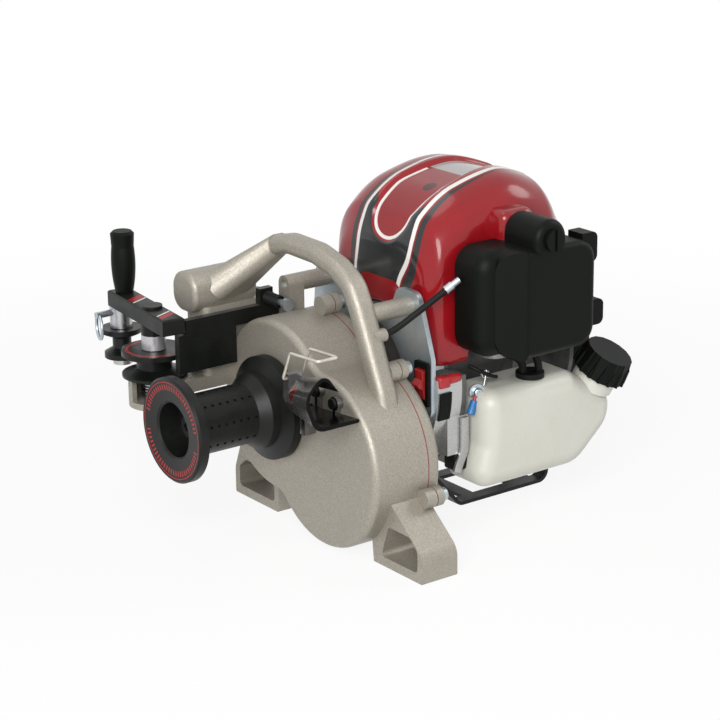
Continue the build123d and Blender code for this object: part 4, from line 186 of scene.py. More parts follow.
def colour_setting(name, text, value):
    """Colour that a user may change."""
    return FloatVectorProperty(name=name, description=text, subtype="COLOR", default=value, min=0, max=1)


def length_setting(name, text, value, low, high):
    """Length that a user may change, given in millimetres."""
    return FloatProperty(name=name, description=text, default=value * MM, min=low * MM, max=high * MM,
                         unit="LENGTH")


def angle_setting(name, text, value):
    """Angle that a user may change, given in degrees."""
    return FloatProperty(name=name, description=text, default=math.radians(value), subtype="ANGLE")


def power_setting(name, text, value):
    """Power of a lamp, in watts."""
    return FloatProperty(name=name, description=text, default=value, min=0, unit="POWER")


class WinchColours(PropertyGroup):
    """Colours that a user may change."""

    cast_grey: colour_setting("Casting", "Bare cast aluminium", (0.384, 0.354, 0.300))
    shroud_red: colour_setting("Shroud", "Glossy red of the engine shroud", (0.27, 0.006, 0.010))
    field_charcoal: colour_setting("Field", "Dark field on the shroud's front", (0.021, 0.024, 0.025))
    stripe_white: colour_setting("Stripes", "Pale stripes on the shroud", (0.78, 0.76, 0.73))
    patch_silver: colour_setting("Patch", "Silver-grey patch on the shroud's top", (0.40, 0.39, 0.38))
    mark_red: colour_setting("Marks", "Red marks on the drum, lever and spool", (0.36, 0.018, 0.02))
    tank_white: colour_setting("Tank", "Milky plastic of the fuel tank", (0.60, 0.595, 0.535))
    plug_red: colour_setting("Plug", "Red insulation of the stop lead's plug", (0.42, 0.02, 0.025))
    terminal_blue: colour_setting("Terminal", "Blue sleeve of the earth terminal", (0.02, 0.16, 0.42))


class WinchSizes(PropertyGroup):
    """Sizes that a user may change."""

    cable_diameter: length_setting("Cable", "Diameter of the throttle cable", 4.8, 2, 10)
    hose_diameter: length_setting("Hoses", "Diameter of the fuel hoses", 6, 2, 10)
    lead_diameter: length_setting("Lead", "Diameter of the stop lead", 2.8, 1, 6)
    recess_depth: length_setting("Recess", "Depth of the sunk panel in the shroud's top", 2.6, 0, 5)
    shroud_wall: length_setting("Shroud wall", "Thickness of the shroud", 2.2, 1, 4)
    stripe_width: length_setting("Stripe", "Width of the pale stripes on the shroud", 3.6, 1, 8)
    drum_marks: IntProperty(name="Drum marks", description="Number of red marks round the drum's front",
                            default=64, min=4, max=90)


class WinchStage(PropertyGroup):
    """Camera, lamps and floor."""

    azimuth: angle_setting("Azimuth", "Direction of the camera round the winch", 53.54)
    elevation: angle_setting("Elevation", "Height of the camera over the horizon", 17.88)
    roll: angle_setting("Roll", "Turn of the camera about its own axis", -0.70)
    distance: FloatProperty(name="Distance", description="From the camera to its target", default=1.6557,
                            unit="LENGTH")
    target: FloatVectorProperty(name="Target", description="Point that the camera looks at",
                                subtype="TRANSLATION", default=(0.0478, -0.0160, 0.1517), unit="LENGTH")
    lens: FloatProperty(name="Lens", description="Focal length in millimetres", default=115.0, min=20,
                        max=400)
    key_power: power_setting("Key lamp", "Power of the large lamp at the right front", 34.0)
    fill_power: power_setting("Fill lamp", "Power of the lamp overhead", 1.6)
    rim_power: power_setting("Rim lamp", "Power of the lamp behind the engine", 5.0)
    sky: FloatProperty(name="Sky", description="Light level of the surroundings", default=0.27, min=0,
                       max=2)


# Meshes

def quads(rows, columns, wrap=False):
    """Corner numbers of a grid's quads; with wrap, the last column joins the first."""
    row, column = np.meshgrid(np.arange(rows - 1), np.arange(columns - (not wrap)), indexing="ij")
    row, column = row.ravel(), column.ravel()
    beside = (column + 1) % columns
    return np.stack([row * columns + column, row * columns + beside, (row + 1) * columns + beside,
                     (row + 1) * columns + column], 1)


def sheet(points, wrap=False):
    """Points and quads of a grid of shape (rows, columns, 3)."""
    return points.reshape(-1, 3), quads(points.shape[0], points.shape[1], wrap)


def place_piece(name, data):
    """Object for a mesh or curve, on the base."""
    piece = bpy.data.objects.new(name, data)
    bpy.context.scene.collection.objects.link(piece)
    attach(piece, "base")
    return piece


def build(name, sheets, finish_name, marks=None):
    """One piece from grids: doubles merged at seams and poles, faces turned outwards.

    marks holds point values by name, which the material reads as attributes."""
    starts = np.cumsum([0] + [len(points) for points, _ in sheets])
    points = np.concatenate([points for points, _ in sheets])
    faces = np.concatenate([corners + start for (_, corners), start in zip(sheets, starts)])
    mesh = bpy.data.meshes.new(name)
    mesh.from_pydata(points, [], faces)
    for key, values in (marks or {}).items():
        layer = mesh.attributes.new(key, "FLOAT", "POINT")
        layer.data.foreach_set("value", values.astype(np.float32).ravel())
    solid = bmesh.new()
    solid.from_mesh(mesh)
    bmesh.ops.remove_doubles(solid, verts=solid.verts, dist=2e-6)
    bmesh.ops.dissolve_degenerate(solid, edges=solid.edges, dist=1e-6)
    bmesh.ops.recalc_face_normals(solid, faces=solid.faces)
    solid.to_mesh(mesh)
    solid.free()
    mesh.shade_smooth()
    mesh.set_sharp_from_angle(angle=math.radians(50))
    mesh.materials.append(FINISHES[finish_name])
    return place_piece(name, mesh)


def thicken(piece, thickness, offset):
    """Wall for a piece that is one open sheet."""
    wall = piece.modifiers.new("Wall", "SOLIDIFY")
    wall.thickness = thickness
    wall.offset = offset


def frame_of(axis):
    """Unit axis, and two directions square to it and to each other."""
    axis = np.array(axis, float) / np.linalg.norm(axis)
    helper = np.eye(3)[np.argmin(np.abs(axis))]
    first = np.cross(axis, helper)
    first /= np.linalg.norm(first)
    return axis, first, np.cross(axis, first)


def turned(profile, origin, axis, steps=48):
    """Profile of (distance, radius) pairs turned about an axis: point = origin + distance along the axis
    + radius times the direction of each angle."""
    axis, first, second = frame_of(axis)
    along, radius = np.array(profile, float).T
    angle = np.arange(steps) * 2 * math.pi / steps
    ways = np.cos(angle)[:, None] * first + np.sin(angle)[:, None] * second
    return sheet(origin + along[:, None, None] * axis + radius[:, None, None] * ways, wrap=True)


def rounded_box(low, high, radius, steps=4):
    """Box with round edges: each grid direction of a sphere times the radius, moved out to the corner of
    the box shrunk by that radius on that direction's side."""
    inner = (high - low) / 2 - radius
    quarter = np.linspace(0, math.pi / 2, steps + 1)
    turn = np.concatenate([quarter + k * math.pi / 2 for k in range(4)])
    rise = np.concatenate([quarter - math.pi / 2, quarter])
    side_x = np.repeat([1, -1, -1, 1], steps + 1)
    side_y = np.repeat([1, 1, -1, -1], steps + 1)
    side_z = np.repeat([-1, 1], steps + 1)[:, None]
    flat = np.cos(rise)[:, None]
    points = np.stack([inner[0] * side_x + radius * flat * np.cos(turn),
                       inner[1] * side_y + radius * flat * np.sin(turn),
                       inner[2] * side_z + radius * np.sin(rise)[:, None] + 0 * turn], 2)
    middle = (low + high) / 2
    caps = [np.broadcast_to([0, 0, side * (high[2] - low[2]) / 2], (1, len(turn), 3)) for side in (-1, 1)]
    return sheet(middle + np.concatenate([caps[0], points, caps[1]]), wrap=True)


def swept(path, radius, steps=12):
    """Round wire along a path: rings square to the path's direction, closed by a point at each end."""
    along = np.gradient(path, axis=0)
    along /= np.linalg.norm(along, axis=1, keepdims=True)
    first = np.cross(along, np.array([0.31, 0.87, 0.38]))
    first /= np.linalg.norm(first, axis=1, keepdims=True)
    second = np.cross(along, first)
    angle = np.arange(steps) * 2 * math.pi / steps
    ring = first[:, None] * np.cos(angle)[:, None] + second[:, None] * np.sin(angle)[:, None]
    ends = [np.repeat(path[k][None, None], steps, 1) for k in (0, -1)]
    return sheet(np.concatenate([ends[0], path[:, None] + radius * ring, ends[1]]), wrap=True)


def strip(path, place, width, thick):
    """Flat strip along a path of (Y, Z) points, smoothed by its own mean: at each point four corners, half
    the width square to the path and half the thickness along X, closed by a point at each end."""
    run = np.linspace(0, len(path) - 1, 40)
    path = np.stack([np.interp(run, np.arange(len(path)), path[:, k]) for k in (0, 1)], 1)
    inner = (path[:-4] + path[1:-3] + path[2:-2] + path[3:-1] + path[4:]) / 5
    path = np.concatenate([path[:2], inner, path[-2:]])
    along = np.gradient(path, axis=0)
    along /= np.linalg.norm(along, axis=1, keepdims=True)
    across = np.stack([-along[:, 1], along[:, 0]], 1) * width / 2
    corners = [np.column_stack([np.full(len(path), place + x * thick / 2), path + y * across])
               for x, y in ((-1, -1), (1, -1), (1, 1), (-1, 1))]
    rows = np.stack(corners, 1)
    ends = [np.repeat(rows[k].mean(0)[None, None], 4, 1) for k in (0, -1)]
    return sheet(np.concatenate([ends[0], rows, ends[1]]), wrap=True)


def through(where, knots, values):
    """Smooth curve through knots that never overshoots: cubic pieces whose slopes are harmonic means."""
    step = np.diff(knots)
    rate = np.diff(values) / step
    pair = rate[:-1] * rate[1:]
    inner = np.where(pair > 0, 2 * pair / np.where(pair > 0, rate[:-1] + rate[1:], 1), 0)
    slope = np.concatenate([rate[:1], inner, rate[-1:]])
    k = np.clip(np.searchsorted(knots, where) - 1, 0, len(step) - 1)
    t = (where - knots[k]) / step[k]
    return (values[k] * (1 + 2 * t) * (1 - t) ** 2 + values[k + 1] * t * t * (3 - 2 * t)
            + step[k] * (slope[k] * t * (1 - t) ** 2 - slope[k + 1] * t * t * (1 - t)))


def ease(value, low, high):
    """Smooth step from 0 at low to 1 at high."""
    t = np.clip((value - low) / (high - low), 0, 1)
    return t * t * (3 - 2 * t)


# Cords


def cord_curve(name, route, diameter):
    """Round rubber cord on one smooth spline whose control points are the route."""
    data = bpy.data.curves.new(name, "CURVE")
    data.dimensions = "3D"
    data.resolution_u = 24
    data.bevel_depth = diameter / 2
    data.bevel_resolution = 8
    data.use_fill_caps = True
    spline = data.splines.new("NURBS")
    spline.points.add(len(route) - 1)
    spline.points.foreach_set("co", np.column_stack([route, np.ones(len(route))]).ravel())
    spline.order_u = 3
    spline.use_endpoint_u = True
    data.materials.append(FINISHES["rubber_black"])
    return place_piece(name, data)


# Finishes

def add(tree, kind, inputs=None, **settings):
    """New node with its settings; an input is a number, a colour or the socket that feeds it."""
    made = tree.nodes.new(kind)
    for key, value in settings.items():
        setattr(made, key, value)
    for key, value in (inputs or {}).items():
        socket = made.inputs[key]
        if isinstance(value, bpy.types.NodeSocket):
            tree.links.new(value, socket)
        else:
            socket.default_value = value
    return made


def calc(tree, operation, *values):
    """Math node's value."""
    return add(tree, "ShaderNodeMath", dict(enumerate(values)), operation=operation).outputs[0]


def smooth(tree, value, low, high, start=0.0, end=1.0):
    """Smooth step of a value between two limits."""
    return ramp(tree, value, low, high, start, end, "SMOOTHSTEP")


def ramp(tree, value, low, high, start=0.0, end=1.0, kind="LINEAR"):
    """Ramp of a value between two limits, straight unless another kind is asked for."""
    limits = {"Value": value, "From Min": low, "From Max": high, "To Min": start, "To Max": end}
    return add(tree, "ShaderNodeMapRange", limits, interpolation_type=kind).outputs["Result"]


def cloud(tree, place, scale, detail, rough=0.5, bend=0.0):
    """Noise value at a place; the scale is in waves per metre."""
    return add(tree, "ShaderNodeTexNoise", {"Vector": place, "Scale": scale, "Detail": detail,
                                            "Roughness": rough, "Distortion": bend}).outputs[0]


def chain(tree, operation, values):
    """Values joined one after the other by the same operation."""
    result = values[0]
    for value in values[1:]:
        result = calc(tree, operation, result, value)
    return result


def product(tree, *values):
    """Product of values or masks."""
    return chain(tree, "MULTIPLY", values)


def most(tree, *values):
    """Largest of values or masks."""
    return chain(tree, "MAXIMUM", values)


def total(tree, *values):
    """Sum of values."""
    return chain(tree, "ADD", values)


def spread(tree, first, second):
    """Length of a pair of values as legs of a right angle."""
    return calc(tree, "SQRT", total(tree, product(tree, first, first), product(tree, second, second)))


def facing(tree):
    """X, Y and Z of the direction that the surface faces."""
    normal = add(tree, "ShaderNodeNewGeometry").outputs["Normal"]
    return add(tree, "ShaderNodeSeparateXYZ", {0: normal}).outputs


def band(tree, value, low, high, soft):
    """Mask that is 1 between two limits."""
    return product(tree, smooth(tree, value, low - soft, low + soft),
                   smooth(tree, value, high - soft, high + soft, 1.0, 0.0))


def mix_colour(tree, mask, under, over):
    """Colour mix whose sockets are taken by their place, as colours and numbers share names."""
    sides = [side if isinstance(side, bpy.types.NodeSocket) else (*side, 1.0) for side in (under, over)]
    return add(tree, "ShaderNodeMix", {0: mask, 6: sides[0], 7: sides[1]}, data_type="RGBA").outputs[2]


def group_tree(name, values, outputs):
    """Empty shader node group that takes a vector and values with defaults; returns the tree and its two
    end nodes."""
    tree = bpy.data.node_groups.new(name, "ShaderNodeTree")
    tree.interface.new_socket("Vector", in_out="INPUT", socket_type="NodeSocketVector")
    for key, default in values.items():
        socket = tree.interface.new_socket(key, in_out="INPUT", socket_type="NodeSocketFloat")
        socket.default_value = default
    for key in outputs:
        tree.interface.new_socket(key, in_out="OUTPUT", socket_type="NodeSocketFloat")
    return tree, tree.nodes.new("NodeGroupInput"), tree.nodes.new("NodeGroupOutput")


def grain_group():
    """Coarse and fine grain of a cast, moulded or painted skin: a height for bumps and a slow tone."""
    values = {"Coarse": 60.0, "Fine": 900.0, "Fine Share": 0.5}
    tree, start, end = group_tree("Skin grain", values, ["Height", "Tone"])
    place = start.outputs["Vector"]
    coarse = cloud(tree, place, start.outputs["Coarse"], detail=4.0, rough=0.6)
    fine = cloud(tree, place, start.outputs["Fine"], detail=3.0, rough=0.65)
    height = add(tree, "ShaderNodeMix", {0: start.outputs["Fine Share"], 2: coarse, 3: fine})
    tree.links.new(height.outputs[0], end.inputs["Height"])
    tree.links.new(smooth(tree, height.outputs[0], 0.38, 0.62), end.inputs["Tone"])
    return tree


def scuff_group():
    """Fine nicks and handling marks: peaks of a fine noise kept only in scattered patches."""
    tree, start, end = group_tree("Scuffs", {"Scale": 420.0, "Spread": 0.52}, ["Mask"])
    place = start.outputs["Vector"]
    nicks = cloud(tree, place, start.outputs["Scale"], detail=2.0, rough=0.6)
    patch = cloud(tree, place, scale=38.0, detail=3.0)
    thin = smooth(tree, nicks, 0.60, 0.70)
    kept = smooth(tree, calc(tree, "SUBTRACT", patch, start.outputs["Spread"]), 0.0, 0.08)
    tree.links.new(product(tree, thin, kept), end.inputs["Mask"])
    return tree


def grime_and_shade_group():
    """Soft dark patches that settle in slow clouds: soiling on most finishes, painted shade on the finish of the
    crankcase and cylinder.
    """
    tree, start, end = group_tree("Grime", {"Scale": 18.0, "Amount": 0.4}, ["Mask"])
    slow = cloud(tree, start.outputs["Vector"], start.outputs["Scale"], detail=6.0, rough=0.62, bend=0.4)
    mask = product(tree, smooth(tree, slow, 0.46, 0.72), start.outputs["Amount"])
    tree.links.new(mask, end.inputs["Mask"])
    return tree


def group(tree, name, place, **values):
    """Node group placed in a material with its own values."""
    named = {key.replace("_", " ").title(): value for key, value in values.items()}
    return add(tree, "ShaderNodeGroup", {"Vector": place, **named}, node_tree=GROUPS[name])


def finish(name, colour, shade, rough, metal=0.0, coarse=60.0, fine=900.0, fine_share=0.5, depth=0.1,
           bump=0.25, scuffs=0.0, scuff_colour=None, grime=0.0, grime_and_shade_colour=None, coat=0.0, coat_rough=0.1,
           spec=0.5, paint=None):
    """Procedural finish: two tones mixed by a slow grain, roughness that follows it, fine bumps, and scuffs
    and dark patches (soiling, and painted shade on some finishes) that come with a colour; paint(tree, place,
    colour) may lay marks over the colour. Depth is in millimetres."""
    made = bpy.data.materials.new(name)
    made.use_nodes = True
    made.diffuse_color = (*colour, 1.0)
    tree = made.node_tree
    shader = tree.nodes["Principled BSDF"]
    place = add(tree, "ShaderNodeTexCoord").outputs["Object"]
    skin = group(tree, "grain", place, coarse=coarse, fine=fine, fine_share=fine_share)
    tint = mix_colour(tree, skin.outputs["Tone"], colour, shade)
    gloss = ramp(tree, skin.outputs["Tone"], 0.0, 1.0, *rough)
    if grime:
        # dark patches: soiling, and on the crankcase and cylinder painted shade
        grime_and_shade_mask = group(tree, "grime", place, amount=grime).outputs["Mask"]
        tint = mix_colour(tree, grime_and_shade_mask, tint, grime_and_shade_colour)
        gloss = most(tree, gloss, product(tree, grime_and_shade_mask, GRIME_AND_SHADE_ROUGH))
    if paint:
        tint = paint(tree, place, tint)
    if scuffs:
        worn = product(tree, group(tree, "scuffs", place).outputs["Mask"], scuffs)
        tint = mix_colour(tree, worn, tint, scuff_colour)
        gloss = total(tree, gloss, product(tree, worn, SCUFF_ROUGH))
    tree.links.new(tint, shader.inputs["Base Color"])
    tree.links.new(gloss, shader.inputs["Roughness"])
    shader.inputs["Metallic"].default_value = metal
    shader.inputs["Specular IOR Level"].default_value = spec
    shader.inputs["Coat Weight"].default_value = coat
    shader.inputs["Coat Roughness"].default_value = coat_rough
    raised = add(tree, "ShaderNodeBump", {"Strength": bump, "Distance": depth * MM,
                                          "Height": skin.outputs["Height"]})
    tree.links.new(raised.outputs["Normal"], shader.inputs["Normal"])
    return made


def chosen(name):
    """Colour that the user has set."""
    return tuple(getattr(bpy.context.scene.winch_colours, name))


def axis_parts(tree, place, centre):
    """X, Y and Z of a place measured from a centre."""
    moved = add(tree, "ShaderNodeVectorMath", {0: place, 1: tuple(centre)}, operation="SUBTRACT")
    return add(tree, "ShaderNodeSeparateXYZ", {0: moved.outputs[0]}).outputs


def drum_marks(tree, place, tint):
    """Ring of short red marks on the drum's front flange, in two groups, with a thin ring round them."""
    x, y, z = axis_parts(tree, place, DRUM)
    front = smooth(tree, y, *DRUM_FACE)
    radius = spread(tree, x, z)
    angle = calc(tree, "ARCTAN2", z, x)
    beat = calc(tree, "SINE", product(tree, angle, float(bpy.context.scene.winch_sizes.drum_marks)))
    ticks = product(tree, band(tree, radius, *DRUM_TICKS, soft=0.25 * MM), smooth(tree, beat, 0.1, 0.3))
    parts = smooth(tree, calc(tree, "ABSOLUTE", calc(tree, "SINE", angle)), 0.18, 0.22)
    ring = band(tree, radius, *DRUM_RING, soft=0.2 * MM)
    mask = product(tree, front, most(tree, product(tree, ticks, parts), ring))
    return mix_colour(tree, mask, tint, chosen("mark_red"))


def spool_marks(tree, place, tint):
    """Red arc round half of the near spool's upper flange."""
    x, y, z = axis_parts(tree, place, PIVOT)
    top = smooth(tree, z, *SPOOL_TOP)
    half = smooth(tree, calc(tree, "SINE", calc(tree, "ARCTAN2", y, x)), 0.15, 0.05)
    mask = product(tree, top, half, band(tree, spread(tree, x, y), *SPOOL_ARC, soft=0.3 * MM))
    return mix_colour(tree, mask, tint, chosen("mark_red"))


def guide_inside(tree, place, tint):
    """Painted shade inside the rope guide, its mouth's rim painted dark, and two red spots with pale edges
    outside. The inside is the faces that look towards the line from its throat to its mouth."""
    x, y, z = axis_parts(tree, place, GUIDE_THROAT)
    normal = facing(tree)
    across, rise = (calc(tree, "SUBTRACT", side, product(tree, x, slope))
                    for side, slope in zip((y, z), GUIDE_SLOPE))
    outward = total(tree, product(tree, across, normal[1]), product(tree, rise, normal[2]))
    # painted shade: the guide's inward faces made near black
    inside = product(tree, smooth(tree, outward, -1 * MM, -4 * MM), smooth(tree, x, -2 * MM, 0.0))
    # the mouth's rim painted dark as well
    rim = product(tree, smooth(tree, x, GUIDE_RUN - 0.3 * MM, GUIDE_RUN - 0.1 * MM),
                  smooth(tree, normal[0], 0.6, 0.7))
    tint = mix_colour(tree, most(tree, inside, rim), tint, grey(0.006))
    for spot, size in GUIDE_SPOTS:
        ends = {0: place, 1: tuple(mm(*spot))}
        away = add(tree, "ShaderNodeVectorMath", ends, operation="DISTANCE").outputs["Value"]
        for reach, colour in ((size + SPOT_BORDER, SPOT_PALE), (size, chosen("mark_red"))):
            mask = smooth(tree, away, (reach - 0.2) * MM, (reach + 0.2) * MM, 1.0, 0.0)
            tint = mix_colour(tree, mask, tint, colour)
    return tint


def bush_black_top(tree, place, tint):
    """Upper part of the lever's bush painted black."""
    z = axis_parts(tree, place, (0, 0, 0))[2]
    return mix_colour(tree, smooth(tree, z, *BUSH_BLACK_FOOT), tint, BUSH_TOP_BLACK)


def top_sheen(tree, place, tint):
    """Painted sheen: upward faces made paler, more in the middle of a slow cloud."""
    mask = product(tree, smooth(tree, facing(tree)[2], 0.85, 0.95),
                   ramp(tree, cloud(tree, place, scale=40.0, detail=3.0), 0.3, 0.7, 0.5, 1.0))
    return mix_colour(tree, mask, tint, SHEEN_GREY)


def lever_marks(tree, place, tint):
    """Slanted red and pale stripes on the lever's top, one set before and one behind its pivot."""
    x, y, z = axis_parts(tree, place, PIVOT)
    cos, sin = math.cos(LEVER_ANGLE), math.sin(LEVER_ANGLE)
    run = total(tree, product(tree, x, cos), product(tree, y, sin))
    across = calc(tree, "SUBTRACT", product(tree, y, cos), product(tree, x, sin))
    slant = total(tree, run, product(tree, across, STRIPE_SLANT))
    top = product(tree, smooth(tree, z, LEVER_TOP - 0.5 * MM, LEVER_TOP - 0.3 * MM),
                  smooth(tree, calc(tree, "ABSOLUTE", across), *LEVER_EDGE, 1.0, 0.0))
    for low, high, colour in LEVER_STRIPES:
        mask = product(tree, top, band(tree, slant, low * MM, high * MM, soft=0.2 * MM))
        tint = mix_colour(tree, mask, tint, chosen(colour))
    return tint


def shroud_paint(tree, place, tint):
    """Painted front and top of the shroud: a dark field that narrows between pale stripes, dark bands
    outside them, a pale line along the sunk panel's edge, a silver patch at its rear, and painted shade as a
    dark red disc where a round hole is."""
    along, trim, dip = (add(tree, "ShaderNodeAttribute", attribute_name=name).outputs["Fac"]
                        for name in ("along", "trim", "dip"))
    soft, blur, edge = 0.25 * MM, 0.4 * MM, 0.3 * MM
    wide = bpy.context.scene.winch_sizes.stripe_width
    within = product(tree, smooth(tree, trim, wide - soft, wide + soft),
                     smooth(tree, dip, -soft, soft, 1.0, 0.0))
    seen = band(tree, along, PAINT_START, PAINT_END, blur)
    taper = total(tree, wide, ramp(tree, along, *TAPER_RUN, TAPER_WIDTH, 0.0))
    dark = product(tree, within, seen, smooth(tree, calc(tree, "SUBTRACT", taper, trim), -soft, soft))
    front = product(tree, within, band(tree, along, PAINT_START, FIELD_END, edge))
    outside = product(tree, trim, -1.0)
    limit = ramp(tree, along, *OUTER_RUN, *OUTER_WIDTHS)
    outer = product(tree, band(tree, along, PAINT_START, OUTER_END, blur),
                    smooth(tree, outside, *OUTER_START),
                    smooth(tree, calc(tree, "SUBTRACT", limit, outside), -soft, soft))
    stripe = product(tree, band(tree, trim, 0.0, wide, soft), seen)
    lip = product(tree, band(tree, dip, *LIP_BAND, soft), band(tree, along, *LIP_RUN, edge))
    patch = product(tree, smooth(tree, dip, PATCH_INSET - soft, PATCH_INSET + soft),
                    band(tree, along, PATCH_START, PAINT_END, blur))
    x, y, z = axis_parts(tree, place, PANEL_HOLE)
    # round hole: painted shade as a dark red disc
    hole = product(tree, smooth(tree, spread(tree, x, y), *HOLE_EDGE, 1.0, 0.0),
                   smooth(tree, z, -30 * MM, -20 * MM))
    for mask, colour in ((most(tree, dark, front, outer), chosen("field_charcoal")),
                         (most(tree, stripe, lip), chosen("stripe_white")),
                         (patch, chosen("patch_silver")), (hole, HOLE_SHADE_RED)):
        tint = mix_colour(tree, mask, tint, colour)
    return tint


def grey(level):
    """Neutral colour."""
    return (level, level, level)


def dimmed(colour, share):
    """Colour made darker."""
    return tuple(share * value for value in colour)


def make_finishes():
    """Every finish of the winch by the record's slot, and a few for the small pieces."""
    GROUPS.update(grain=grain_group(), scuffs=scuff_group(), grime=grime_and_shade_group())
    cast, red = chosen("cast_grey"), chosen("shroud_red")
    steel = (0.56, 0.56, 0.57), (0.46, 0.46, 0.48)
    black = (0.0045, 0.0055, 0.0045), (0.007, 0.008, 0.007)
    pale_black = (0.005, 0.006, 0.005), (0.008, 0.009, 0.008)
    coated = dict(coarse=60, fine=1600, depth=0.05, scuffs=0.12, scuff_colour=grey(0.06), spec=0.24)
    glossy = dict(coarse=30, fine=260, fine_share=0.2, depth=0.04, bump=0.12, coat=0.25, coat_rough=0.04,
                  spec=0.34)
    ground = dict(coarse=120, fine=2000, depth=0.02)
    die_cast = dict(coarse=80, fine=1300, depth=0.12, bump=0.4)
    return {
        "cast_aluminium": finish(
            "Sand cast aluminium", cast, dimmed(cast, 0.76), (0.40, 0.52), metal=0.5, coarse=420,
            fine=1150, fine_share=0.8, depth=0.35, bump=0.6, grime=0.1, grime_and_shade_colour=(0.20, 0.18, 0.15),
            scuffs=0.25, scuff_colour=(0.6, 0.58, 0.54)),
        "sealant": finish(
            "Red sealant", (0.26, 0.02, 0.015), (0.18, 0.015, 0.012), (0.5, 0.65), coarse=200, depth=0.2),
        "zinc_fastener": finish(
            "Zinc plate", (0.50, 0.55, 0.58), (0.40, 0.46, 0.50), (0.28, 0.42), metal=0.9, coarse=70,
            fine=1200, depth=0.03, scuffs=0.3, scuff_colour=(0.7, 0.72, 0.74)),
        "bearing_steel": finish(
            "Ground steel", *steel, (0.22, 0.34), metal=1.0, scuffs=0.2, scuff_colour=grey(0.7), **ground),
        "wire_steel": finish(
            "Steel wire", (0.66, 0.61, 0.54), (0.52, 0.48, 0.43), (0.28, 0.4), metal=0.7, **ground),
        "black_topped_steel": finish(
            "Steel with black collar", *steel, (0.24, 0.36), metal=0.6, paint=bush_black_top, **ground),
        "gear_steel": finish(
            "Oiled gear steel", (0.34, 0.34, 0.35), (0.25, 0.25, 0.26), (0.2, 0.4), metal=1.0, coarse=80,
            depth=0.03),
        "clutch_steel": finish(
            "Turned steel", (0.32, 0.32, 0.33), (0.24, 0.24, 0.25), (0.3, 0.45), metal=1.0, coarse=90,
            depth=0.03),
        "black_steel": finish("Black coated steel", *black, (0.36, 0.48), **coated),
        # side plate: painted sheen on its upward faces
        "rubbed_black": finish("Rubbed black plate", *black, (0.36, 0.48), paint=top_sheen, **coated),
        "lever_black": finish("Painted lever", *black, (0.36, 0.48), paint=lever_marks, **coated),
        "drum_black": finish("Hard black drum", *pale_black, (0.34, 0.46), paint=drum_marks, **coated),
        "spool_black": finish("Spool plastic", *pale_black, (0.30, 0.42), paint=spool_marks, **coated),
        "black_plastic": finish(
            "Grained black plastic", (0.002, 0.003, 0.002), (0.004, 0.005, 0.004), (0.42, 0.55), coarse=40,
            fine=2600, fine_share=0.85, depth=0.05, bump=0.35, spec=0.11),
        "rubber_black": finish(
            "Black rubber", (0.004, 0.005, 0.004), (0.007, 0.008, 0.007), (0.45, 0.6), coarse=120,
            fine=1800, depth=0.05, spec=0.16),
        "engine_cast": finish(
            "Die cast silver", (0.46, 0.47, 0.47), (0.36, 0.37, 0.37), (0.42, 0.56), metal=0.45, grime=0.5,
            grime_and_shade_colour=grey(0.12), **die_cast),
        "bright_cast": finish(
            "Smooth die casting", grey(0.50), grey(0.46), (0.24, 0.34), metal=0.8, coarse=60, fine=1300,
            depth=0.04, bump=0.15, grime=0.2, grime_and_shade_colour=grey(0.2)),
        # crankcase and cylinder: dark colours and heavy dark patches are painted shade for their place in the
        # shadow between the shroud and the tank
        "shaded_cast": finish(
            "Oily die casting", grey(0.15), grey(0.10), (0.4, 0.55), metal=0.5, grime=0.8,
            grime_and_shade_colour=grey(0.03), **die_cast),
        "guide_silver": finish(
            "Dark die cast guide", (0.24, 0.24, 0.235), (0.17, 0.17, 0.166), (0.14, 0.24), metal=0.85,
            coarse=90, fine=1500, depth=0.02, bump=0.06, scuffs=0.05, scuff_colour=grey(0.4),
            paint=guide_inside),
        "switch_red": finish(
            "Switch red", (0.30, 0.012, 0.012), (0.24, 0.01, 0.01), (0.3, 0.4), coarse=200, depth=0.02),
        "shroud_red": finish(
            "Shroud red", red, dimmed(red, 0.9), (0.16, 0.22), paint=shroud_paint, **glossy),
        "plain_red": finish("Red moulding", red, dimmed(red, 0.9), (0.16, 0.22), **glossy),
        "tank_white": finish(
            "Milky tank plastic", chosen("tank_white"), (0.56, 0.555, 0.49), (0.30, 0.40), coarse=14,
            fine=600, fine_share=0.3, depth=0.06, bump=0.15),
        "filter_foam": finish(
            "Filter foam", (0.10, 0.10, 0.095), grey(0.06), (0.8, 0.95), coarse=300, fine=900, depth=0.6,
            bump=0.9),
        "plug_red": finish(
            "Plug insulation", chosen("plug_red"), (0.33, 0.015, 0.02), (0.35, 0.5), coarse=150,
            depth=0.04),
        "terminal_blue": finish(
            "Terminal sleeve", chosen("terminal_blue"), (0.015, 0.12, 0.33), (0.3, 0.45), coarse=150,
            depth=0.04),
    }


class WINCH_OT_finishes(Operator):
    """Make the finishes and put them on every piece of the winch"""

    bl_idname = "winch.finishes"
    bl_label = "Finishes"

    def execute(self, context):
        FINISHES.update(make_finishes())
        for name, piece in NODES.items():
            piece.data.materials.clear()
            piece.data.materials.append(FINISHES[OWN_FINISH.get(name, SLOT_OF[name])])
        return {"FINISHED"}


class WINCH_OT_cords(Operator):
    """Make the throttle cable, the fuel hoses and the stop lead"""

    bl_idname = "winch.cords"
    bl_label = "Cords"

    def execute(self, context):
        sizes = context.scene.winch_sizes
        cable = cord_curve("throttle_cable_sheath", CABLE_ROUTE, sizes.cable_diameter)
        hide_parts("throttle_cable")
        lead = cord_curve("stop_lead_wire", LEAD_ROUTE, sizes.lead_diameter)
        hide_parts("stop_lead")
        for side, route in HOSE_ROUTES.items():
            hose = cord_curve(f"fuel_hose_{side}", route, sizes.hose_diameter)
            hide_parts("fuel_hoses")
        return {"FINISHED"}


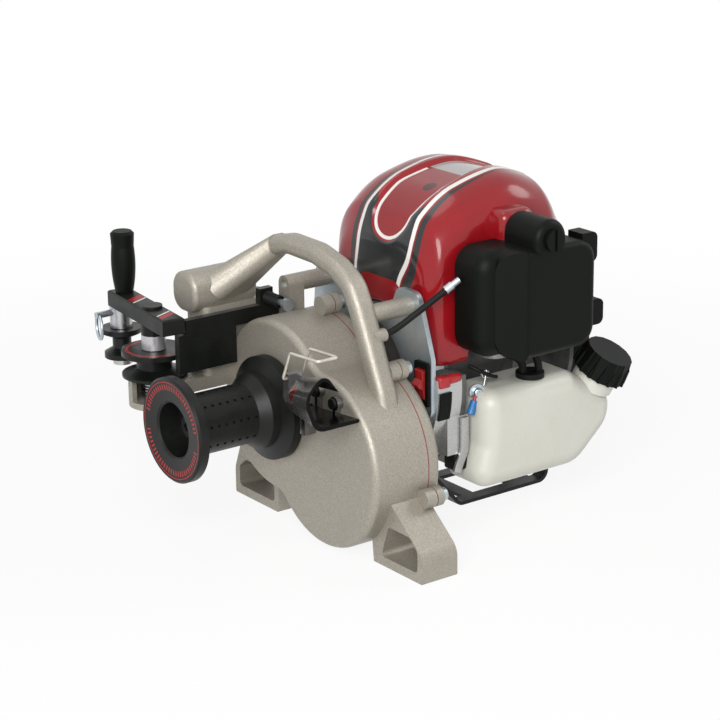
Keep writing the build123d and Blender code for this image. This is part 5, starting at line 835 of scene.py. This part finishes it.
def shroud_grid():
    """Shroud's outer skin. Each row is a section at one depth, an upside-down U with round corners, from
    the left foot over the top to the right foot; the front face runs from the neck's circle out to the
    first section, and the rear face from the last section to its middle."""
    knots = SHROUD_SECTIONS[:, 0]
    body = np.linspace(knots[0] + FRONT_RIM, knots[-1] - FRONT_RIM, BODY_ROWS)
    left, right, top = (through(body, knots, SHROUD_SECTIONS[:, k])[:, None] for k in (1, 2, 3))
    lift = WINDOW_LIFT * (ease(body, *WINDOW[:2]) - ease(body, *WINDOW[2:]))[:, None]
    side = np.linspace(0, 1, SIDE_POINTS)[None, :-1]
    arc = np.linspace(0, math.pi / 2, ARC_POINTS)[None, :-1]
    flat = np.linspace(0, 1, TOP_POINTS)[None, :]
    corner = SHROUD_CORNER
    shoulder = top - corner
    bend, rise = corner * (1 - np.cos(arc)), shoulder + corner * np.sin(arc)
    across = np.concatenate([left + 0 * side, left + bend,
                             left + corner + (right - left - 2 * corner) * flat,
                             (right - bend)[:, ::-1], right + 0 * side], 1)
    left_side = SHROUD_FOOT + (shoulder - SHROUD_FOOT) * side
    right_side = SHROUD_FOOT + lift + (shoulder - SHROUD_FOOT - lift) * side
    height = np.concatenate([left_side, rise, top * np.ones_like(flat),
                             rise[:, ::-1], right_side[:, ::-1]], 1)
    depth = body[:, None] * np.ones_like(across)
    rows = np.stack([across, depth, height], 2)
    first, last = rows[:1], rows[-1:]
    centre = np.array([CRANK[0], 0, CRANK[2]])
    out = (first - centre) * [1, 0, 1]
    ring = centre + out * (NECK_R / np.linalg.norm(out, axis=2, keepdims=True))
    k = np.linspace(0, 1, FACE_ROWS)[:, None, None]
    face = ring + (first - ring) * k
    face[..., 1] = body[0] - FRONT_RIM * (1 - np.clip((k[..., 0] - 1) / RIM_SHARE + 1, 0, 1) ** 2)
    middle = np.array([(last[..., 0].min() + last[..., 0].max()) / 2, 0, SHROUD_FOOT])
    back = last + (middle - last) * k[1:]
    back[..., 1] = body[-1] + FRONT_RIM * (1 - (1 - k[1:, ..., 0]) ** BACK_POWER) ** (1 / BACK_POWER)
    return np.concatenate([face[:-1], rows, back])


def shroud_marks(points):
    """Distances that the paint follows: along the middle of the front and top, in from the stripes' outer
    edge, and in from the edge of the sunk panel."""
    x, y, z = points[..., 0], points[..., 1], points[..., 2]
    knots = SHROUD_SECTIONS[:, 0]
    depth = np.linspace(knots[0], knots[-1], 400)
    crest = through(depth, knots, SHROUD_SECTIONS[:, 3])
    steps = np.hypot(np.diff(depth), np.diff(crest))
    run = np.concatenate([[0], np.cumsum(steps)]) + crest[0] - SHROUD_FOOT
    front = y < knots[0] + FRONT_RIM * 0.999
    rim = z[np.argmin(front[:, 0])]
    edge = np.interp(knots[0] + FRONT_RIM, depth, run)
    along = np.where(front, edge - (rim - z), np.interp(y, depth, run))
    low = 1 - ease(along, *FACE_TURN)
    centre = STRIPES_MIDDLE[0] + STRIPES_MIDDLE[1] * low
    half = STRIPES_HALF[0] + STRIPES_HALF[1] * low + STRIPES_HALF[2] * ease(along, *STRIPES_CLOSE)
    trim = half - np.abs(x - centre)
    stations, halves = PANEL_HALVES.T
    toe = np.hypot(x - PANEL_MIDDLE, np.maximum(stations[0] - along, 0))
    return along, trim, np.interp(along, stations, halves) - toe


class WINCH_OT_shroud(Operator):
    """Make the painted shroud with its sunk panel and the boss that carries the air cleaner"""

    bl_idname = "winch.shroud"
    bl_label = "Shroud"

    def execute(self, context):
        sizes = context.scene.winch_sizes
        points = shroud_grid()
        along, trim, dip = shroud_marks(points)
        rows, columns = np.gradient(points, axis=0), np.gradient(points, axis=1)
        out = np.cross(columns, rows)
        out /= np.maximum(np.linalg.norm(out, axis=2, keepdims=True), 1e-12)
        out *= np.sign((out * (points - SHROUD_MIDDLE)).sum(2, keepdims=True))
        sunk = sizes.recess_depth * ease(dip, *PANEL_EDGE) * (1 - ease(along, *PANEL_END))
        ridge = ease(trim, -RIDGE_EDGE, RIDGE_EDGE) * ease(-dip, 0, RIDGE_EDGE) * ease(along, *RIDGE_START)
        points = points + out * (RIDGE_HEIGHT * ridge - sunk)[..., None]
        marks = {"along": along, "trim": trim, "dip": dip}
        skin = build("shroud_skin", [sheet(points)], "shroud_red", marks)
        thicken(skin, sizes.shroud_wall, -1)
        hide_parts("shroud")
        boss = rounded_box(mm(38, 105.4, 213.4), mm(62.9, 136.6, 244), 7 * MM, steps=6)
        build("shoulder_boss", [boss], "plain_red")
        return {"FINISHED"}


def screw_head(origin, axis, radius, height):
    """Round screw head on a washer, with a dished top."""
    r, h = radius, height
    washer = [(0, 0), (0, 1.7 * r), (0.22 * h, 1.7 * r), (0.25 * h, 1.66 * r)]
    head = [(0.25 * h, r), (0.75 * h, r), (0.93 * h, 0.88 * r), (h, 0.68 * r)]
    dish = [(0.96 * h, 0.4 * r), (0.7 * h, 0.34 * r), (0.7 * h, 0)]
    return turned(washer + head + dish, origin, axis, steps=40)


class WINCH_OT_engine_trim(Operator):
    """Make the small pieces of the engine: plug, earth terminal, pad, strap, spring and bare plate"""

    bl_idname = "winch.engine_trim"
    bl_label = "Engine trim"

    def execute(self, context):
        plug = [rounded_box(mm(55.5, 46.2, 119.5), mm(62.5, 56.5, 128.2), 1.4 * MM),
                turned(mm((0, 0), (0, 3.7), (7, 3.5), (10, 3.1), (11.2, 2.2), (11.4, 0)),
                       mm(59.2, 56, 124.8), (0.05, 1, 0.03), steps=32)]
        build("stop_plug", plug, "plug_red")
        seat, way = mm(56.5, 85.5, 108.5), (0.92, -0.36, 0.12)
        screw = [screw_head(seat, way, 3.6 * MM, 6.5 * MM),
                 turned(mm((-6, 0), (-6, 3), (0.4, 3), (0.4, 0)), seat, way, steps=24)]
        build("earth_screw", screw, "zinc_fastener")
        sleeve = turned(mm((0, 0), (0, 2.0), (0.3, 2.9), (10.4, 3.2), (10.8, 2.6), (10.8, 0)),
                        mm(60.3, 80.6, 103.8), (0.0, -0.36, -0.93), steps=32)
        build("earth_sleeve", [sleeve], "terminal_blue")
        neck = turned(mm((0, 0), (0, 1.6), (5.0, 1.6), (5.0, 0)),
                      mm(59.4, 82.6, 107.6), (0.15, -0.45, -0.88), steps=24)
        build("earth_core", [neck], "plug_red")
        pad = rounded_box(mm(45, 63, 50), mm(59, 75.5, 64.3), 2.0 * MM)
        build("tank_pad", [pad], "rubber_black")
        strap = strip(mm((71.5, 92), (71.5, 70), (70.5, 64), (66.5, 56), (64.5, 50)),
                      59.4 * MM, 7.0 * MM, 2.0 * MM)
        build("tank_strap", [strap], "bright_cast")
        turn = np.linspace(0, 4.4 * math.pi, 90)
        loop = np.stack([54.5 + 0.55 * turn / math.pi, 94 + COIL_R * np.cos(turn),
                         120.5 + COIL_R * np.sin(turn)], 1)
        tail = loop[-1] + np.linspace(0, 1, 12)[1:, None] * np.array([1.0, -3.5, -11.0])
        coil = swept(np.concatenate([loop, tail]) * MM, 0.7 * MM)
        build("choke_spring", [coil], "bearing_steel")
        turn, depth = np.meshgrid(np.radians(np.linspace(-16, 0, 24)), np.linspace(46.5, 57.5, 10) * MM,
                                  indexing="ij")
        face = np.stack([CRANK[0] + COVER_PLATE_R * np.cos(turn), depth,
                         CRANK[2] + COVER_PLATE_R * np.sin(turn)], 2)
        thicken(build("cover_plate", [sheet(face)], "black_plastic"), 0.7 * MM, 0)
        return {"FINISHED"}


class WINCH_OT_stage(Operator):
    """Make the floor, the lamps, the surroundings and the camera"""

    bl_idname = "winch.stage"
    bl_label = "Stage"

    def lamp(self, name, power, size, place):
        """Round soft lamp that faces the winch."""
        data = bpy.data.lights.new(name, "AREA")
        data.energy = power
        data.shape = "DISK"
        data.size = size
        made = bpy.data.objects.new(name, data)
        made.location = place
        made.rotation_euler = (LAMP_TARGET - Vector(place)).to_track_quat("-Z", "Y").to_euler()
        bpy.context.scene.collection.objects.link(made)

    def seen(self, tree):
        """Mask of the rays that show the surroundings: from the camera, off metal or through glass."""
        path = add(tree, "ShaderNodeLightPath").outputs
        return most(tree, path["Is Camera Ray"], path["Is Glossy Ray"], path["Is Transmission Ray"])

    def floor(self, context):
        """Wide floor of pale paper that takes the winch's shadow and goes over into white far from it."""
        grid = np.linspace(-FLOOR_SPAN, FLOOR_SPAN, 3)
        across, deep = np.meshgrid(grid, grid, indexing="ij")
        points = np.stack([across, deep, np.full_like(deep, -FLOOR_DROP)], 2)
        mesh = bpy.data.meshes.new("studio_floor")
        mesh.from_pydata(points.reshape(-1, 3), [], quads(3, 3))
        floor = bpy.data.objects.new("studio_floor", mesh)
        context.scene.collection.objects.link(floor)
        paper = bpy.data.materials.new("Studio paper")
        paper.use_nodes = True
        tree = paper.node_tree
        tree.nodes.clear()
        place = add(tree, "ShaderNodeTexCoord").outputs["Object"]
        tone = mix_colour(tree, cloud(tree, place, scale=400.0, detail=3.0), grey(0.86), grey(0.9))
        matt = add(tree, "ShaderNodeBsdfDiffuse", {"Color": tone})
        glow = add(tree, "ShaderNodeEmission", {"Color": WHITE, "Strength": 1.0})
        away = add(tree, "ShaderNodeVectorMath", {0: place}, operation="LENGTH").outputs["Value"]
        share = product(tree, self.seen(tree), smooth(tree, away, *FLOOR_GLOW))
        mixed = add(tree, "ShaderNodeMixShader", {0: share, 1: matt.outputs[0], 2: glow.outputs[0]})
        end = add(tree, "ShaderNodeOutputMaterial", {"Surface": mixed.outputs[0]})
        end.is_active_output = True
        mesh.materials.append(paper)

    def surroundings(self, context):
        """Soft light from all sides, which shows as white."""
        world = bpy.data.worlds.new("Studio")
        context.scene.world = world
        world.use_nodes = True
        tree = world.node_tree
        tree.nodes.clear()
        sky = context.scene.winch_stage.sky
        dim = add(tree, "ShaderNodeBackground", {"Color": SKY_TINT, "Strength": sky})
        white = add(tree, "ShaderNodeBackground", {"Color": WHITE, "Strength": 1.0})
        parts = {0: self.seen(tree), 1: dim.outputs[0], 2: white.outputs[0]}
        mixed = add(tree, "ShaderNodeMixShader", parts)
        add(tree, "ShaderNodeOutputWorld", {"Surface": mixed.outputs[0]})

    def camera(self, context):
        """Camera at its azimuth, elevation and distance from the target, turned by its roll."""
        stage = context.scene.winch_stage
        data = bpy.data.cameras.new("camera")
        data.sensor_width = 36.0
        data.lens = stage.lens
        data.clip_start = 0.01
        camera = bpy.data.objects.new("camera", data)
        context.scene.collection.objects.link(camera)
        a, e, r = stage.azimuth, stage.elevation, stage.roll
        back = Vector((math.sin(a) * math.cos(e), -math.cos(a) * math.cos(e), math.sin(e)))
        level = Vector((math.cos(a), math.sin(a), 0))
        rise = back.cross(level)
        right = math.cos(r) * level + math.sin(r) * rise
        up = math.cos(r) * rise - math.sin(r) * level
        turn = Matrix((right, up, back)).transposed().to_4x4()
        camera.matrix_world = Matrix.Translation(Vector(stage.target) + back * stage.distance) @ turn
        context.scene.camera = camera

    def execute(self, context):
        self.floor(context)
        self.surroundings(context)
        for name, (size, place) in LAMPS.items():
            self.lamp(f"{name}_lamp", getattr(context.scene.winch_stage, f"{name}_power"), size, place)
        self.camera(context)
        context.scene.view_settings.view_transform = "Standard"
        return {"FINISHED"}


class WINCH_PT_looks(Panel):
    """Steps that dress the winch"""

    bl_idname = "WINCH_PT_looks"
    bl_label = "Winch looks"
    bl_space_type = "VIEW_3D"
    bl_region_type = "UI"
    bl_category = "Winch"

    def draw(self, context):
        for step in STEPS:
            self.layout.operator(step.bl_idname)
        for group_name in SETTINGS:
            settings = getattr(context.scene, group_name)
            column = self.layout.column()
            for key in settings.__annotations__:
                column.prop(settings, key)


STEPS = (WINCH_OT_finishes, WINCH_OT_cords, WINCH_OT_shroud, WINCH_OT_engine_trim, WINCH_OT_stage)
CLASSES = (WinchColours, WinchSizes, WinchStage, *STEPS, WINCH_PT_looks)
SETTINGS = {"winch_colours": WinchColours, "winch_sizes": WinchSizes, "winch_stage": WinchStage}


def register():
    """Make Blender know the classes and give each scene its settings."""
    for each in CLASSES:
        bpy.utils.register_class(each)
    for name, kind in SETTINGS.items():
        setattr(bpy.types.Scene, name, PointerProperty(type=kind))


def unregister():
    """Take the settings and the classes out again."""
    for name in SETTINGS:
        delattr(bpy.types.Scene, name)
    for each in reversed(CLASSES):
        bpy.utils.unregister_class(each)


def main():
    """Dress the winch step by step."""
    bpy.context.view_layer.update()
    register()
    bpy.ops.winch.finishes()
    bpy.ops.winch.cords()
    bpy.ops.winch.shroud()
    bpy.ops.winch.engine_trim()
    bpy.ops.winch.stage()


if __name__ == "__main__":
    main()
